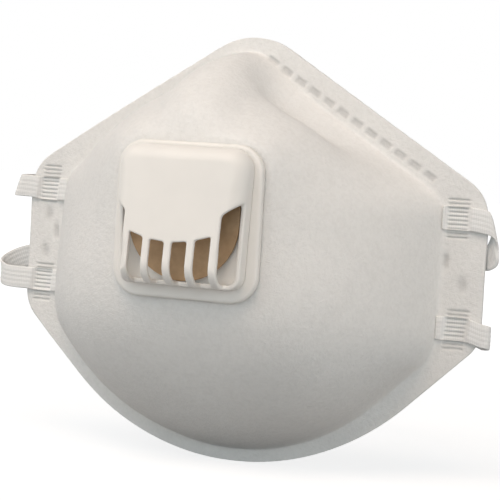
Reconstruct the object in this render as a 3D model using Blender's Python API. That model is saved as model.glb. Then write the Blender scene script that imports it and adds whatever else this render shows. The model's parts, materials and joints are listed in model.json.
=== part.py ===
"""Disposable cup dust mask with an exhalation valve, in metres, upright as it is worn.

+Z is up towards the nose, -Y is the way the wearer looks and X runs from cheek to cheek.
The origin is the middle of the face opening, on the wearer's side of the flange.
"""
import math

import bmesh
import bpy
import numpy as np

# Outline of the welded flange, seen from the front
FLANGE_HALF_WIDTH = 0.0690
FLANGE_PEAK = 0.0606        # where the two upper edges would meet above the nose
FLANGE_CHIN = 0.0611        # below the origin
WING_TOP = 0.0178           # corner of the upper edge and the side
WING_BOTTOM = 0.0231        # corner of the side and the lower edge, below the origin
CHIN_HALF_WIDTH = 0.0273    # where the lower edge would meet the level of the chin
PEAK_RADIUS = 0.0190
WING_TOP_RADIUS = 0.0120
WING_BOTTOM_RADIUS = 0.0100
WING_SWEEP = 0.0040         # how far the wings bend back towards the ears

# Width of the flange between its edge and the foot of the cup
UPPER_STRIP = 0.0080
WING_STRIP = 0.0123
LOWER_STRIP = 0.0060
CHIN_STRIP = 0.0037
FOOT_PEAK_RADIUS = 0.0120
FOOT_TOP_RADIUS = 0.0090
FOOT_BOTTOM_RADIUS = 0.0140

# Cup: flat pad for the valve, then a super-elliptic fall to the foot
CUP_DEPTH = 0.0380
VALVE_HEIGHT = 0.0064       # valve axis above the origin
PAD_MARGIN = 0.0015         # flat cup left around the valve plate
PAD_SQUARENESS = 5.0
NOSE_FULLNESS = 1.35
SIDE_FULLNESS = 1.35
CHIN_FULLNESS = 1.50

# Groove beside the nose ridge, with a low crest between it and the flange
GROOVE_FROM = math.radians(16.0)
GROOVE_TO = math.radians(88.0)
GROOVE_REACH = 0.0110       # furthest that the groove lies inside the foot
GROOVE_SKEW = 0.85
GROOVE_DEPTH = 0.0040
GROOVE_CHEEK_SHARE = 0.35   # of that depth is left at the cheek
GROOVE_WIDTH = 0.0026
CREST_HEIGHT = 0.0016
CREST_WIDTH = 0.0022
CREST_OFFSET = 0.0036       # crest to groove

# Plies, from the outside in, over the cup and pressed together in the flange
OUTER_PLY = 0.0006
FILTER_PLY = 0.0006
INNER_PLY = 0.0009
FLANGE_PLY = 0.0004
PLY_GAP = 0.00015
GRID_STEPS = 56             # round the valve axis
DOME_RINGS = 8
FLANGE_RINGS = 2

# Exhalation valve, in its own frame: X across, Y up, Z out of the cup
SEAT_GAP = 0.0003
PLATE_RADIUS = 0.0075
PLATE_THICKNESS = 0.0022
PLATE_EDGE = 0.0007
PLATE_EDGE_STEPS = 2
PORT_RADIUS = 0.0135
SPIGOT_WALL = 0.0023
SPIGOT_CLEARANCE = 0.0004
SPOKE_WIDTH = 0.0016
SPOKE_THICKNESS = 0.0014
LIP_WIDTH = 0.0011
LIP_HEIGHT = 0.0008
POST_RADIUS = 0.0008
POST_SIDES = 16
POST_SPACING = 0.0080
POST_HEIGHT = 0.0024
RING_WIDTH = 0.0032
RING_THICKNESS = 0.0018

# Rubber flap that hangs from two posts at the top of the port
FLAP_OVERLAP = 0.0005       # beyond the sealing lip
FLAP_THICKNESS = 0.0006
TAB_WIDTH = 0.0130
TAB_CLEARANCE = 0.0003      # tab to the inside of the hood
POST_HOLE_CLEARANCE = 0.0004
POST_SETBACK = 0.0017       # post axis below the hinge line

# Hood over the flap: low at the brow, high at the bars
FLAP_ROOM = 0.0021          # edge of the flap to the inside of the hood
HOOD_SIDE_MARGIN = 0.0019   # plate left showing at each side
HOOD_TOP_MARGIN = 0.0010
HOOD_BOTTOM_MARGIN = 0.0019
HOOD_WALL = 0.0014
HOOD_CORNER = 0.0060        # in plan, at the plate
HOOD_ROUND = 0.0034         # between the walls and the front
HOOD_ROUND_STEPS = 4
HOOD_TAPER = 0.0008         # lean of the walls
BROW_RISE = 0.0070          # of the hood's front above the plate, at the top
FRONT_RISE = 0.0108         # at the bottom
HOOD_CROWN = 0.0024         # how much higher the front is at the middle than at the sides
CROWN_RINGS = 3
HOOD_SIDE_POINTS = 3
BARS = 5
BAR_WIDTH = 0.0024
BAR_PITCH = 0.0062
SLOT_TOP = 0.0059           # below the valve axis, at the middle
SLOT_ARCH = 0.0024          # how much higher the slots reach at the outer bars
CORNER_TOP = 0.0017         # of a corner opening above the valve axis, beside the outer bar
CORNER_SLANT = 0.0038       # how much higher it reaches at the side
RAIL_HEIGHT = 0.0025
SILL = 0.0016               # wall left between the plate and the openings

# Soft strip inside the nose
FOAM_THICKNESS = 0.0040
FOAM_SPAN = math.radians(52.0)
FOAM_FIRST_RING = 5
FOAM_GAP = 0.0003

# Elastic head straps
STRAP_WIDTH = 0.0068
STRAP_THICKNESS = 0.0010
STRAP_GAP = 0.0003
UPPER_STRAP_HEIGHT = 0.0120
LOWER_STRAP_DROP = 0.0170   # below the origin
STRAP_END_MARGIN = 0.0010   # from the foot of the cup to the welded end
TURN_OVERHANG = 0.0042      # furthest that the turn stands beyond the wing
TURN_DEPTH = 0.0095         # from the welded run to the run behind the wing
SPLIT_INSET = 0.0040        # split of end and loop, inside the wing's edge
LOOP_REACH = 0.0680
LOOP_BLUNTNESS = 1.2        # above 1 the loop is wider behind the head
UPPER_DROOP = math.radians(5.0)
LOWER_DROOP = math.radians(10.0)
WELD_POINTS = 4             # that carry the strap's line along the wing
TURN_POINTS = 5             # and round the turn
LOOP_POINTS = 33
END_STEPS = 22
LOOP_STEPS = 56

# Sizes that follow from the ones above
FLANGE_THICKNESS = 3 * FLANGE_PLY + 2 * PLY_GAP
CUP_THICKNESS = OUTER_PLY + FILTER_PLY + INNER_PLY + 2 * PLY_GAP
SPIGOT_RADIUS = PORT_RADIUS + SPIGOT_WALL
HOLE_RADIUS = SPIGOT_RADIUS + SPIGOT_CLEARANCE
PLATE_TOP = SEAT_GAP + PLATE_THICKNESS
RING_BACK = CUP_THICKNESS + SEAT_GAP + RING_THICKNESS
LIP_RADIUS = PORT_RADIUS + LIP_WIDTH
FLAP_RADIUS = LIP_RADIUS + FLAP_OVERLAP
FLAP_BACK = PLATE_TOP + LIP_HEIGHT + SEAT_GAP
HOOD_HALF_WIDTH = FLAP_RADIUS + FLAP_ROOM + HOOD_WALL
PLATE_HALF = HOOD_HALF_WIDTH + HOOD_SIDE_MARGIN
HOOD_HIGH = PLATE_HALF - HOOD_TOP_MARGIN
HOOD_LOW = HOOD_BOTTOM_MARGIN - PLATE_HALF
HOOD_BASE = PLATE_TOP + SEAT_GAP
HINGE_OUT = FLAP_BACK + FLAP_THICKNESS
HINGE_UP = HOOD_HIGH - HOOD_WALL - HOOD_TAPER - TAB_CLEARANCE
TINY = 1e-9
SMOOTH_BELOW = math.radians(35.0)

# Colours and roughness
WEB = (0.86, 0.85, 0.83), 0.90
FILTER = (0.90, 0.90, 0.90), 0.95
FOAM = (0.80, 0.80, 0.79), 1.00
PLASTIC = (0.88, 0.86, 0.82), 0.42
RUBBER = (0.50, 0.36, 0.24), 0.60
ELASTIC = (0.88, 0.88, 0.87), 0.85


def clear_scene():
    for item in list(bpy.data.objects):
        bpy.data.objects.remove(item)


def finish(name, colour, roughness):
    """A plain surface of one colour."""
    material = bpy.data.materials.new(name)
    material.use_nodes = True
    shader = material.node_tree.nodes["Principled BSDF"]
    shader.inputs["Base Color"].default_value = (*colour, 1.0)
    shader.inputs["Roughness"].default_value = roughness
    shader.inputs["Metallic"].default_value = 0.0
    return material


def add_mesh(name, points, faces, material=None, parent=None):
    mesh = bpy.data.meshes.new(name)
    mesh.from_pydata([tuple(point) for point in points], [], [tuple(face) for face in faces])
    item = bpy.data.objects.new(name, mesh)
    if material:
        mesh.materials.append(material)
    item.parent = parent
    bpy.context.scene.collection.objects.link(item)
    return item


def add_bmesh(name, shape, material=None, parent=None):
    bmesh.ops.recalc_face_normals(shape, faces=shape.faces)
    mesh = bpy.data.meshes.new(name)
    shape.to_mesh(mesh)
    shape.free()
    item = bpy.data.objects.new(name, mesh)
    if material:
        mesh.materials.append(material)
    item.parent = parent
    bpy.context.scene.collection.objects.link(item)
    return item


def combine(target, tool, operation):
    """Boolean of two objects under the same parent; the tool is used up."""
    modifier = target.modifiers.new(operation.lower(), "BOOLEAN")
    modifier.operation = operation
    modifier.solver = "EXACT"
    modifier.object = tool
    bpy.context.view_layer.update()
    graph = bpy.context.evaluated_depsgraph_get()
    mesh = bpy.data.meshes.new_from_object(target.evaluated_get(graph))
    target.modifiers.clear()
    target.data = mesh
    bpy.data.objects.remove(tool)


def smooth(item):
    item.data.shade_smooth()
    item.data.set_sharp_from_angle(angle=SMOOTH_BELOW)


def round_corner(corner, before, after, radius, count):
    """Points of the arc that rounds a corner between its two neighbours."""
    corner = np.array(corner, float)
    towards_first = np.array(before, float) - corner
    towards_last = np.array(after, float) - corner
    towards_first /= np.linalg.norm(towards_first)
    towards_last /= np.linalg.norm(towards_last)
    half = 0.5 * math.acos(np.clip(towards_first @ towards_last, -1.0, 1.0))
    middle = towards_first + towards_last
    centre = corner + middle / np.linalg.norm(middle) * radius / math.sin(half)
    first = corner + towards_first * radius / math.tan(half) - centre
    last = corner + towards_last * radius / math.tan(half) - centre
    start = math.atan2(first[1], first[0])
    turn = (math.atan2(last[1], last[0]) - start + math.pi) % (2 * math.pi) - math.pi
    angles = start + turn * np.linspace(0.0, 1.0, count)
    return centre + radius * np.column_stack([np.cos(angles), np.sin(angles)])


def half_outline(corners, radii, arc_points=24, fill_points=8):
    """Right half of a mirrored outline from the top to the bottom, each corner rounded.

    The first corner lies on the middle line, and the last arc ends there.
    The straight stretches between the arcs get points too.
    """
    arcs = []
    for index, (corner, radius) in enumerate(zip(corners, radii)):
        before = corners[index - 1] if index else (-corners[1][0], corners[1][1])
        last = index == len(corners) - 1
        after = (-corner[0], corner[1]) if last else corners[index + 1]
        arcs.append(round_corner(corner, before, after, radius, arc_points))
    outline = np.vstack(arcs)
    shares = np.linspace(0.0, 1.0, fill_points, endpoint=False)[None, :, None]
    filled = outline[:-1, None] * (1 - shares) + outline[1:, None] * shares
    filled = np.vstack([filled.reshape(-1, 2), outline[-1:]])
    return filled[filled[:, 0] > -TINY]


def chin_radius(corner, chin):
    """Radius of the arc that runs from the lower edge to the middle of the chin."""
    slope = math.atan2(corner[1] - chin[1], corner[0] - chin[0])
    return chin[0] / math.tan(slope / 2)


def meet(point, along, other, across):
    steps = np.linalg.solve(np.column_stack([along, -across]), other - point)
    return point + along * steps[0]


def flange_corners():
    return [(0.0, FLANGE_PEAK), (FLANGE_HALF_WIDTH, WING_TOP),
            (FLANGE_HALF_WIDTH, -WING_BOTTOM), (CHIN_HALF_WIDTH, -FLANGE_CHIN)]


def flange_outline():
    corners = flange_corners()
    radii = [PEAK_RADIUS, WING_TOP_RADIUS, WING_BOTTOM_RADIUS, chin_radius(corners[2], corners[3])]
    return half_outline(corners, radii)


def foot_outline():
    """The flange's outline moved in by the width of the strip on each side."""
    corners = [np.array(corner) for corner in flange_corners()] + [np.array([0.0, -FLANGE_CHIN])]
    widths = [UPPER_STRIP, WING_STRIP, LOWER_STRIP, CHIN_STRIP]
    lines = []
    for start, end, width in zip(corners, corners[1:], widths):
        along = (end - start) / np.linalg.norm(end - start)
        lines.append((start + width * np.array([along[1], -along[0]]), along))
    axis = (np.zeros(2), np.array([0.0, 1.0]))
    top = meet(*lines[0], *axis)
    inner = [meet(*one, *two) for one, two in zip(lines, lines[1:])]
    radii = [FOOT_PEAK_RADIUS, FOOT_TOP_RADIUS, FOOT_BOTTOM_RADIUS, chin_radius(inner[1], inner[2])]
    return half_outline([tuple(top)] + [tuple(corner) for corner in inner], radii)


def reach(outline, angles):
    """Distance from the valve axis to an outline, in each direction round that axis."""
    rise = outline[:, 1] - VALVE_HEIGHT
    bearing = np.arctan2(rise, outline[:, 0])
    order = np.argsort(bearing)
    folded = np.arctan2(np.sin(angles), np.abs(np.cos(angles)))
    return np.interp(folded, bearing[order], np.hypot(rise, outline[:, 0])[order])


def pad_reach(angles):
    """Edge of the flat pad: a square with soft corners, a margin larger than the valve plate."""
    power = PAD_SQUARENESS
    side = PLATE_HALF + PAD_MARGIN
    return side / (np.abs(np.cos(angles)) ** power + np.abs(np.sin(angles)) ** power) ** (1 / power)


def fullness(angles):
    up = np.sin(angles)
    return SIDE_FULLNESS + (np.where(up > 0, NOSE_FULLNESS, CHIN_FULLNESS) - SIDE_FULLNESS) * up ** 2


def groove(angles, inside):
    """Change of height beside the nose, at a distance inside the foot."""
    folded = np.arctan2(np.sin(angles), np.abs(np.cos(angles)))
    share = np.clip((folded - GROOVE_FROM) / (GROOVE_TO - GROOVE_FROM), 0.0, 1.0)
    arch = np.sin(math.pi * share ** GROOVE_SKEW)
    line = GROOVE_REACH * arch
    deepening = GROOVE_CHEEK_SHARE + (1 - GROOVE_CHEEK_SHARE) * share
    dip = deepening * np.exp(-((inside - line) / GROOVE_WIDTH) ** 2)
    rise = np.exp(-((inside - line + CREST_OFFSET) / CREST_WIDTH) ** 2)
    return arch * (CREST_HEIGHT * rise - GROOVE_DEPTH * dip) * (inside > TINY)


def cup_grid():
    """Outer face of the cup on rings round the valve axis: hole, pad, dome, foot and flange."""
    angles = 2 * math.pi * np.arange(GRID_STEPS) / GRID_STEPS
    foot = reach(foot_outline(), angles)
    edge = reach(flange_outline(), angles)
    pad = pad_reach(angles)
    power = fullness(angles)
    radii = [np.full(GRID_STEPS, HOLE_RADIUS)]
    heights = [np.full(GRID_STEPS, CUP_DEPTH)]
    for ring in range(DOME_RINGS + 1):
        turn = 0.5 * math.pi * ring / DOME_RINGS
        share = math.sin(turn) ** (2 / power)
        radius = pad + (foot - pad) * share
        height = CUP_DEPTH * max(math.cos(turn), 0.0) ** (2 / power)
        radii.append(radius)
        heights.append(height + groove(angles, foot - radius) * share)
    for ring in range(FLANGE_RINGS):
        radii.append(foot + (edge - foot) * (ring + 1) / FLANGE_RINGS)
        heights.append(np.zeros(GRID_STEPS))
    radii = np.array(radii)
    heights = np.array(heights)
    across = radii * np.cos(angles)
    sweep = WING_SWEEP * (np.abs(across) / FLANGE_HALF_WIDTH) ** 3 * (1 - heights / CUP_DEPTH)
    depth = sweep - FLANGE_THICKNESS - heights
    return np.stack([across, depth, VALVE_HEIGHT + radii * np.sin(angles)], axis=-1)


def inward(grid):
    """Unit normals of the grid, towards the wearer."""
    round_step = np.roll(grid, -1, axis=1) - np.roll(grid, 1, axis=1)
    out_step = np.gradient(grid, axis=0)
    normal = np.cross(out_step, round_step)
    normal /= np.linalg.norm(normal, axis=-1, keepdims=True)
    return normal * np.sign(normal[:1, :1, 1:2])


def ring_shares():
    """1 over the cup and 0 in the flange, for each ring of the grid."""
    shares = np.ones(DOME_RINGS + 2 + FLANGE_RINGS)
    shares[DOME_RINGS + 1:] = 0.0
    return shares[:, None, None]


def depth_below(cup, flange):
    """Depth under the outer face that runs from one value over the cup to another in the flange."""
    share = ring_shares()
    return cup * share + flange * (1 - share)


def shell(name, grid, normals, outer, inner, material):
    """One ply: the grid sunk to two depths, closed at the valve hole and at the flange's edge."""
    rings, spokes = grid.shape[:2]
    faces = []
    faced = [grid + normals * outer, grid + normals * inner]
    points = np.concatenate([face.reshape(-1, 3) for face in faced])
    back = rings * spokes
    for ring in range(rings):
        for spoke in range(spokes):
            after = (spoke + 1) % spokes
            here, beside = ring * spokes + spoke, ring * spokes + after
            if ring in (0, rings - 1):
                wall = [(here, beside, beside + back), (here, beside + back, here + back)]
                faces += wall if ring else [face[::-1] for face in wall]
            if ring < rings - 1:
                above, corner = here + spokes, beside + spokes
                front = split_quad(here, beside, corner, above, spoke, spokes)
                faces += [face[::-1] for face in front]
                faces += [tuple(point + back for point in face) for face in front]
    item = add_mesh(name, points, faces, material)
    orient(item)
    smooth(item)
    return item


def split_quad(here, beside, corner, above, spoke, spokes):
    """Two triangles, cut along the diagonal that mirrors across the middle of the mask."""
    quarter = (spoke * 4) // spokes
    if quarter in (0, 2):
        return [(here, beside, corner), (here, corner, above)]
    return [(here, beside, above), (beside, corner, above)]


def orient(item):
    """Faces pointing out of the solid."""
    shape = bmesh.new()
    shape.from_mesh(item.data)
    bmesh.ops.recalc_face_normals(shape, faces=shape.faces)
    shape.to_mesh(item.data)
    shape.free()


def foam_strip(name, grid, normals, material):
    """Soft strip on the inside of the nose, thickened towards the wearer and the valve axis."""
    spokes = grid.shape[1]
    step = 2 * math.pi / spokes
    reach_each_way = int(FOAM_SPAN / step)
    chosen = spokes // 4 + np.arange(-reach_each_way, reach_each_way + 1)
    rings = np.arange(FOAM_FIRST_RING, DOME_RINGS + 1)
    seat = (grid + normals * (CUP_THICKNESS + FOAM_GAP))[np.ix_(rings, chosen)]
    towards = np.array([0.0, 0.0, VALVE_HEIGHT]) - seat
    towards[..., 1] = 0.0
    towards /= np.linalg.norm(towards, axis=-1, keepdims=True)
    lift = (towards + np.array([0.0, 1.0, 0.0])) / math.sqrt(2.0)
    shape = bmesh.new()
    low = [[shape.verts.new(point) for point in row] for row in seat]
    high = [[shape.verts.new(point) for point in row] for row in seat + lift * FOAM_THICKNESS]
    for layer in (low, high):
        for row, below in zip(layer, layer[1:]):
            for index in range(len(row) - 1):
                split = split_quad(row[index], row[index + 1], below[index + 1], below[index],
                                   int(chosen[index]), spokes)
                for face in split:
                    shape.faces.new(face)
    rim = [(0, column) for column in range(len(chosen))]
    rim += [(row, len(chosen) - 1) for row in range(1, len(rings))]
    rim += [(len(rings) - 1, column) for column in range(len(chosen) - 2, -1, -1)]
    rim += [(row, 0) for row in range(len(rings) - 2, 0, -1)]
    for (row, column), (next_row, next_column) in zip(rim, rim[1:] + rim[:1]):
        shape.faces.new((low[row][column], low[next_row][next_column],
                         high[next_row][next_column], high[row][column]))
    item = add_bmesh(name, shape, material)
    smooth(item)
    return item


def prism(name, outline, low, high, material=None, parent=None):
    """Upright prism on a closed outline of (across, up) points."""
    shape = bmesh.new()
    bottom = [shape.verts.new((across, up, low)) for across, up in outline]
    top = [shape.verts.new((across, up, high)) for across, up in outline]
    shape.faces.new(bottom)
    shape.faces.new(top)
    for index in range(len(outline)):
        after = (index + 1) % len(outline)
        shape.faces.new((bottom[index], bottom[after], top[after], top[index]))
    return add_bmesh(name, shape, material, parent)


def disc(radius, centre=(0.0, 0.0), sides=48):
    angles = 2 * math.pi * np.arange(sides) / sides
    spots = np.array(centre) + radius * np.column_stack([np.cos(angles), np.sin(angles)])
    return [tuple(spot) for spot in spots]


def rounded_rectangle(half_width, half_height, radius, inset=0.0, corner_points=6, side_points=0):
    """Outline with round corners; an inset keeps the corners' centres and shortens their radius."""
    corners = []
    for quarter in range(4):
        start = 0.5 * math.pi * quarter
        middle = start + 0.25 * math.pi
        centre = np.array([math.copysign(half_width - radius, math.cos(middle)),
                           math.copysign(half_height - radius, math.sin(middle))])
        angles = start + 0.5 * math.pi * np.linspace(0.0, 1.0, corner_points)
        corners.append(centre + (radius - inset) * np.column_stack([np.cos(angles), np.sin(angles)]))
    outline = []
    for corner, following in zip(corners, corners[1:] + corners[:1]):
        side = np.linspace(corner[-1], following[0], side_points + 2)[1:-1]
        outline += [tuple(point) for point in np.vstack([corner, side])]
    return outline


def box(low, high):
    return [(low[0], low[1]), (high[0], low[1]), (high[0], high[1]), (low[0], high[1])]


def bevel_edges(item, width, segments, chosen):
    shape = bmesh.new()
    shape.from_mesh(item.data)
    edges = [edge for edge in shape.edges if chosen(edge)]
    bmesh.ops.bevel(shape, geom=edges, offset=width, segments=segments, profile=0.5, affect="EDGES",
                    clamp_overlap=True)
    bmesh.ops.recalc_face_normals(shape, faces=shape.faces)
    shape.to_mesh(item.data)
    shape.free()


def valve_seat(frame, material):
    """Square plate with its port, cross spokes, sealing lip, two posts and the spigot through the cup."""
    seat = prism("valve_seat", rounded_rectangle(PLATE_HALF, PLATE_HALF, PLATE_RADIUS), SEAT_GAP, PLATE_TOP,
                 material, frame)
    bevel_edges(seat, PLATE_EDGE, PLATE_EDGE_STEPS,
                lambda edge: all(vertex.co.z > PLATE_TOP - TINY for vertex in edge.verts))
    spigot = prism("spigot", disc(SPIGOT_RADIUS), -RING_BACK, SEAT_GAP + PLATE_THICKNESS / 2, None, frame)
    combine(seat, spigot, "UNION")
    lip = prism("lip", disc(LIP_RADIUS), PLATE_TOP - PLATE_THICKNESS / 2, PLATE_TOP + LIP_HEIGHT,
                None, frame)
    combine(seat, lip, "UNION")
    port = prism("port", disc(PORT_RADIUS), -2 * RING_BACK, 2 * PLATE_TOP + LIP_HEIGHT, None, frame)
    combine(seat, port, "DIFFERENCE")
    bar = PORT_RADIUS + LIP_WIDTH / 2
    for across, up in ((bar, SPOKE_WIDTH / 2), (SPOKE_WIDTH / 2, bar)):
        spoke = prism("spoke", box((-across, -up), (across, up)), PLATE_TOP - SPOKE_THICKNESS, PLATE_TOP,
                      None, frame)
        combine(seat, spoke, "UNION")
    for side in (-1, 1):
        place = (side * POST_SPACING / 2, HINGE_UP - POST_SETBACK)
        post = prism("post", disc(POST_RADIUS, place, POST_SIDES), PLATE_TOP - PLATE_THICKNESS / 2,
                     PLATE_TOP + POST_HEIGHT, None, frame)
        combine(seat, post, "UNION")
    smooth(seat)
    return seat


def valve_flap(frame, material):
    """Round flap with a straight tab; its origin is on the hinge line along the tab's top edge."""
    flap = prism("valve_flap", disc(FLAP_RADIUS), -FLAP_THICKNESS, 0.0, material)
    tab = prism("tab", box((-TAB_WIDTH / 2, 0.0), (TAB_WIDTH / 2, HINGE_UP)), -FLAP_THICKNESS, 0.0)
    combine(flap, tab, "UNION")
    for side in (-1, 1):
        place = (side * POST_SPACING / 2, HINGE_UP - POST_SETBACK)
        hole = prism("hole", disc(POST_RADIUS + POST_HOLE_CLEARANCE, place, POST_SIDES),
                     -2 * FLAP_THICKNESS, FLAP_THICKNESS)
        combine(flap, hole, "DIFFERENCE")
    for vertex in flap.data.vertices:
        vertex.co.y -= HINGE_UP
    flap.parent = frame
    flap.location = (0.0, HINGE_UP, HINGE_OUT)
    smooth(flap)
    return flap


def hood_front(across, up):
    """Height of the hood's front, which slopes up from the brow to the bars and is crowned across."""
    share = (HOOD_HIGH - up) / (HOOD_HIGH - HOOD_LOW)
    slope = HOOD_BASE + BROW_RISE + (FRONT_RISE - BROW_RISE) * share
    return slope - HOOD_CROWN * (across / HOOD_HALF_WIDTH) ** 2


def hood_block(name, shrink, floor, frame, material=None):
    """Block of the hood: tapered walls, a rounded edge and the crowned front."""
    middle = (HOOD_HIGH + HOOD_LOW) / 2
    half_height = (HOOD_HIGH - HOOD_LOW) / 2 - shrink
    edge = HOOD_ROUND - shrink

    def outline(inset):
        half_width, corner = HOOD_HALF_WIDTH - shrink, HOOD_CORNER - shrink
        plan = rounded_rectangle(half_width, half_height, corner, inset, side_points=HOOD_SIDE_POINTS)
        return np.array(plan) + np.array([0.0, middle])

    def at_front(plan, drop):
        return np.column_stack([plan, hood_front(plan[:, 0], plan[:, 1]) - shrink - drop])

    foot = outline(0.0)
    rings = [np.column_stack([foot, np.full(len(foot), floor)])]
    for turn in np.linspace(0.0, 0.5 * math.pi, HOOD_ROUND_STEPS + 1):
        inset = HOOD_TAPER + edge * (1 - math.cos(turn))
        rings.append(at_front(outline(inset), edge * (1 - math.sin(turn))))
    centre = np.array([0.0, middle])
    for share in np.linspace(1.0, 0.0, CROWN_RINGS + 1)[1:-1]:
        rings.append(at_front(centre + (rings[HOOD_ROUND_STEPS + 1][:, :2] - centre) * share, 0.0))
    shape = bmesh.new()
    rows = [[shape.verts.new(point) for point in ring] for ring in rings]
    peak = shape.verts.new(at_front(centre[None, :], 0.0)[0])
    shape.faces.new(rows[0])
    for index in range(len(foot)):
        after = (index + 1) % len(foot)
        for row, above in zip(rows, rows[1:]):
            shape.faces.new((row[index], row[after], above[after], above[index]))
        shape.faces.new((rows[-1][index], rows[-1][after], peak))
    bmesh.ops.triangulate(shape, faces=shape.faces)
    return add_bmesh(name, shape, material, frame)


def opening_outlines():
    """Outlines of the hood's openings: slots between the bars and a taller one at each corner.

    The tops of the slots follow an arch that rises towards the outer bars.
    """
    low = HOOD_LOW + HOOD_TAPER + RAIL_HEIGHT
    outer = (BARS - 1) / 2 * BAR_PITCH + BAR_WIDTH / 2

    def top(across):
        return SLOT_ARCH * (across / outer) ** 2 - SLOT_TOP

    slots = []
    for index in range(BARS - 1):
        left = index * BAR_PITCH - outer + BAR_WIDTH
        right = left + BAR_PITCH - BAR_WIDTH
        slots.append([(left, low), (right, low), (right, top(right)), (left, top(left))])
    bend = HOOD_HALF_WIDTH - HOOD_CORNER / 2
    side = 2 * HOOD_HALF_WIDTH - outer
    slanted = CORNER_TOP + 2 * CORNER_SLANT
    corner = [(outer, low), (bend, low), (side, low + side - bend), (side, slanted), (outer, CORNER_TOP)]
    return slots, [corner, [(-across, up) for across, up in corner]]


def valve_cover(frame, material):
    """Hood with bars over its lower front, an opening at each corner and notches in its underside."""
    hood = hood_block("valve_cover", 0.0, HOOD_BASE, frame, material)
    combine(hood, hood_block("hollow", HOOD_WALL, HOOD_BASE - HOOD_WALL, frame), "DIFFERENCE")
    slots, corners = opening_outlines()
    bottom = HOOD_BASE + SILL
    for outline in slots + corners:
        combine(hood, prism("slot", outline, bottom, HOOD_BASE + 2 * FRONT_RISE, None, frame), "DIFFERENCE")
    for outline in slots:
        left, right = outline[0][0], outline[1][0]
        notch = box((left, HOOD_LOW - HOOD_WALL), (right, HOOD_LOW + HOOD_TAPER + HOOD_WALL))
        ceiling = hood_front(max(-left, right), HOOD_LOW) - HOOD_ROUND
        combine(hood, prism("notch", notch, bottom, ceiling, None, frame), "DIFFERENCE")
    smooth(hood)
    return hood


def retaining_ring(frame, material):
    """Ring on the spigot that holds the plies against the plate."""
    outer = SPIGOT_RADIUS + SEAT_GAP + RING_WIDTH
    ring = prism("valve_retaining_ring", disc(outer), -RING_BACK, -CUP_THICKNESS - SEAT_GAP, material, frame)
    bore = prism("bore", disc(SPIGOT_RADIUS + SEAT_GAP), -2 * RING_BACK, RING_BACK, None, frame)
    combine(ring, bore, "DIFFERENCE")
    smooth(ring)
    return ring


def through(points, count):
    """Points evenly spaced along a Catmull-Rom curve through a route's own points."""
    route = np.array(points, float)
    ends = np.vstack([2 * route[0] - route[1], route, 2 * route[-1] - route[-2]])
    share = np.linspace(0.0, 1.0, 16, endpoint=False)[:, None]
    pieces = []
    for first, second, third, fourth in zip(ends, ends[1:], ends[2:], ends[3:]):
        pieces.append(0.5 * (2 * second + (third - first) * share
                             + (2 * first - 5 * second + 4 * third - fourth) * share ** 2
                             + (3 * second - first - 3 * third + fourth) * share ** 3))
    curve = np.vstack(pieces + [route[-1:]])
    lengths = np.concatenate([[0.0], np.cumsum(np.linalg.norm(np.diff(curve, axis=0), axis=1))])
    stations = np.linspace(0.0, lengths[-1], count + 1)
    return np.column_stack([np.interp(stations, lengths, curve[:, axis]) for axis in range(2)])


def band(name, plan, level, material):
    """Flat elastic along a plan of (across, back) points, its width upright about a level."""
    along = np.gradient(plan, axis=0)
    along /= np.linalg.norm(along, axis=1, keepdims=True)
    side = np.column_stack([-along[:, 1], along[:, 0]]) * STRAP_THICKNESS / 2
    rise = STRAP_WIDTH / 2
    sections = []
    for flat, up in ((plan + side, rise), (plan - side, rise), (plan - side, -rise), (plan + side, -rise)):
        sections.append(np.column_stack([flat, np.full(len(plan), level + up)]))
    points = np.stack(sections, axis=1).reshape(-1, 3)
    faces = [(0, 1, 2, 3)]
    for station in range(len(plan) - 1):
        for corner in range(4):
            after = (corner + 1) % 4
            here = station * 4
            faces.append((here + corner, here + after, here + 4 + after, here + 4 + corner))
    last = len(points) - 4
    faces.append((last + 3, last + 2, last + 1, last))
    item = add_mesh(name, points, faces, material)
    orient(item)
    smooth(item)
    return item


def wing_front(across):
    """Front face of the wing at a distance from the middle."""
    return WING_SWEEP * (across / FLANGE_HALF_WIDTH) ** 3 - FLANGE_THICKNESS


def strap_run():
    """Depth of the middle of the strap where it lies on the wing's front."""
    return wing_front(FLANGE_HALF_WIDTH) - STRAP_GAP - STRAP_THICKNESS / 2


def split_across():
    return FLANGE_HALF_WIDTH - SPLIT_INSET


def loop_axis_depth():
    """Depth of the line between the two splits, which the loop swings about."""
    return strap_run() + TURN_DEPTH


def strap_end(name, side, level, material):
    """Welded end on the wing's front, then the turn round the wing's edge to the split behind it."""
    start = FLANGE_HALF_WIDTH - WING_STRIP + STRAP_END_MARGIN
    edge = FLANGE_HALF_WIDTH
    lift = STRAP_GAP + STRAP_THICKNESS / 2
    on_wing = [(across, wing_front(across) - lift) for across in np.linspace(start, edge, WELD_POINTS)]
    turn = []
    for angle in np.linspace(0.0, math.pi, TURN_POINTS)[1:]:
        turn.append((edge + (TURN_OVERHANG - STRAP_THICKNESS / 2) * math.sin(angle),
                     strap_run() + TURN_DEPTH * (1 - math.cos(angle)) / 2))
    split = (split_across(), loop_axis_depth())
    plan = through(on_wing + turn + [split], END_STEPS) * np.array([side, 1.0])
    return band(name, plan, level, material)


def strap_loop(name, level, droop, material):
    """Loop behind the head, drooping a little; its origin is on the line it swings about."""
    shares = np.linspace(1.0, -1.0, LOOP_POINTS)
    across = (split_across() - STRAP_GAP) * shares
    back = LOOP_REACH * (1 + np.cos(math.pi * np.abs(shares) ** LOOP_BLUNTNESS)) / 2
    loop = band(name, through(np.column_stack([across, back]), LOOP_STEPS), 0.0, material)
    loop.location = (0.0, loop_axis_depth(), level)
    loop.rotation_euler = (-droop, 0.0, 0.0)
    return loop


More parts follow.
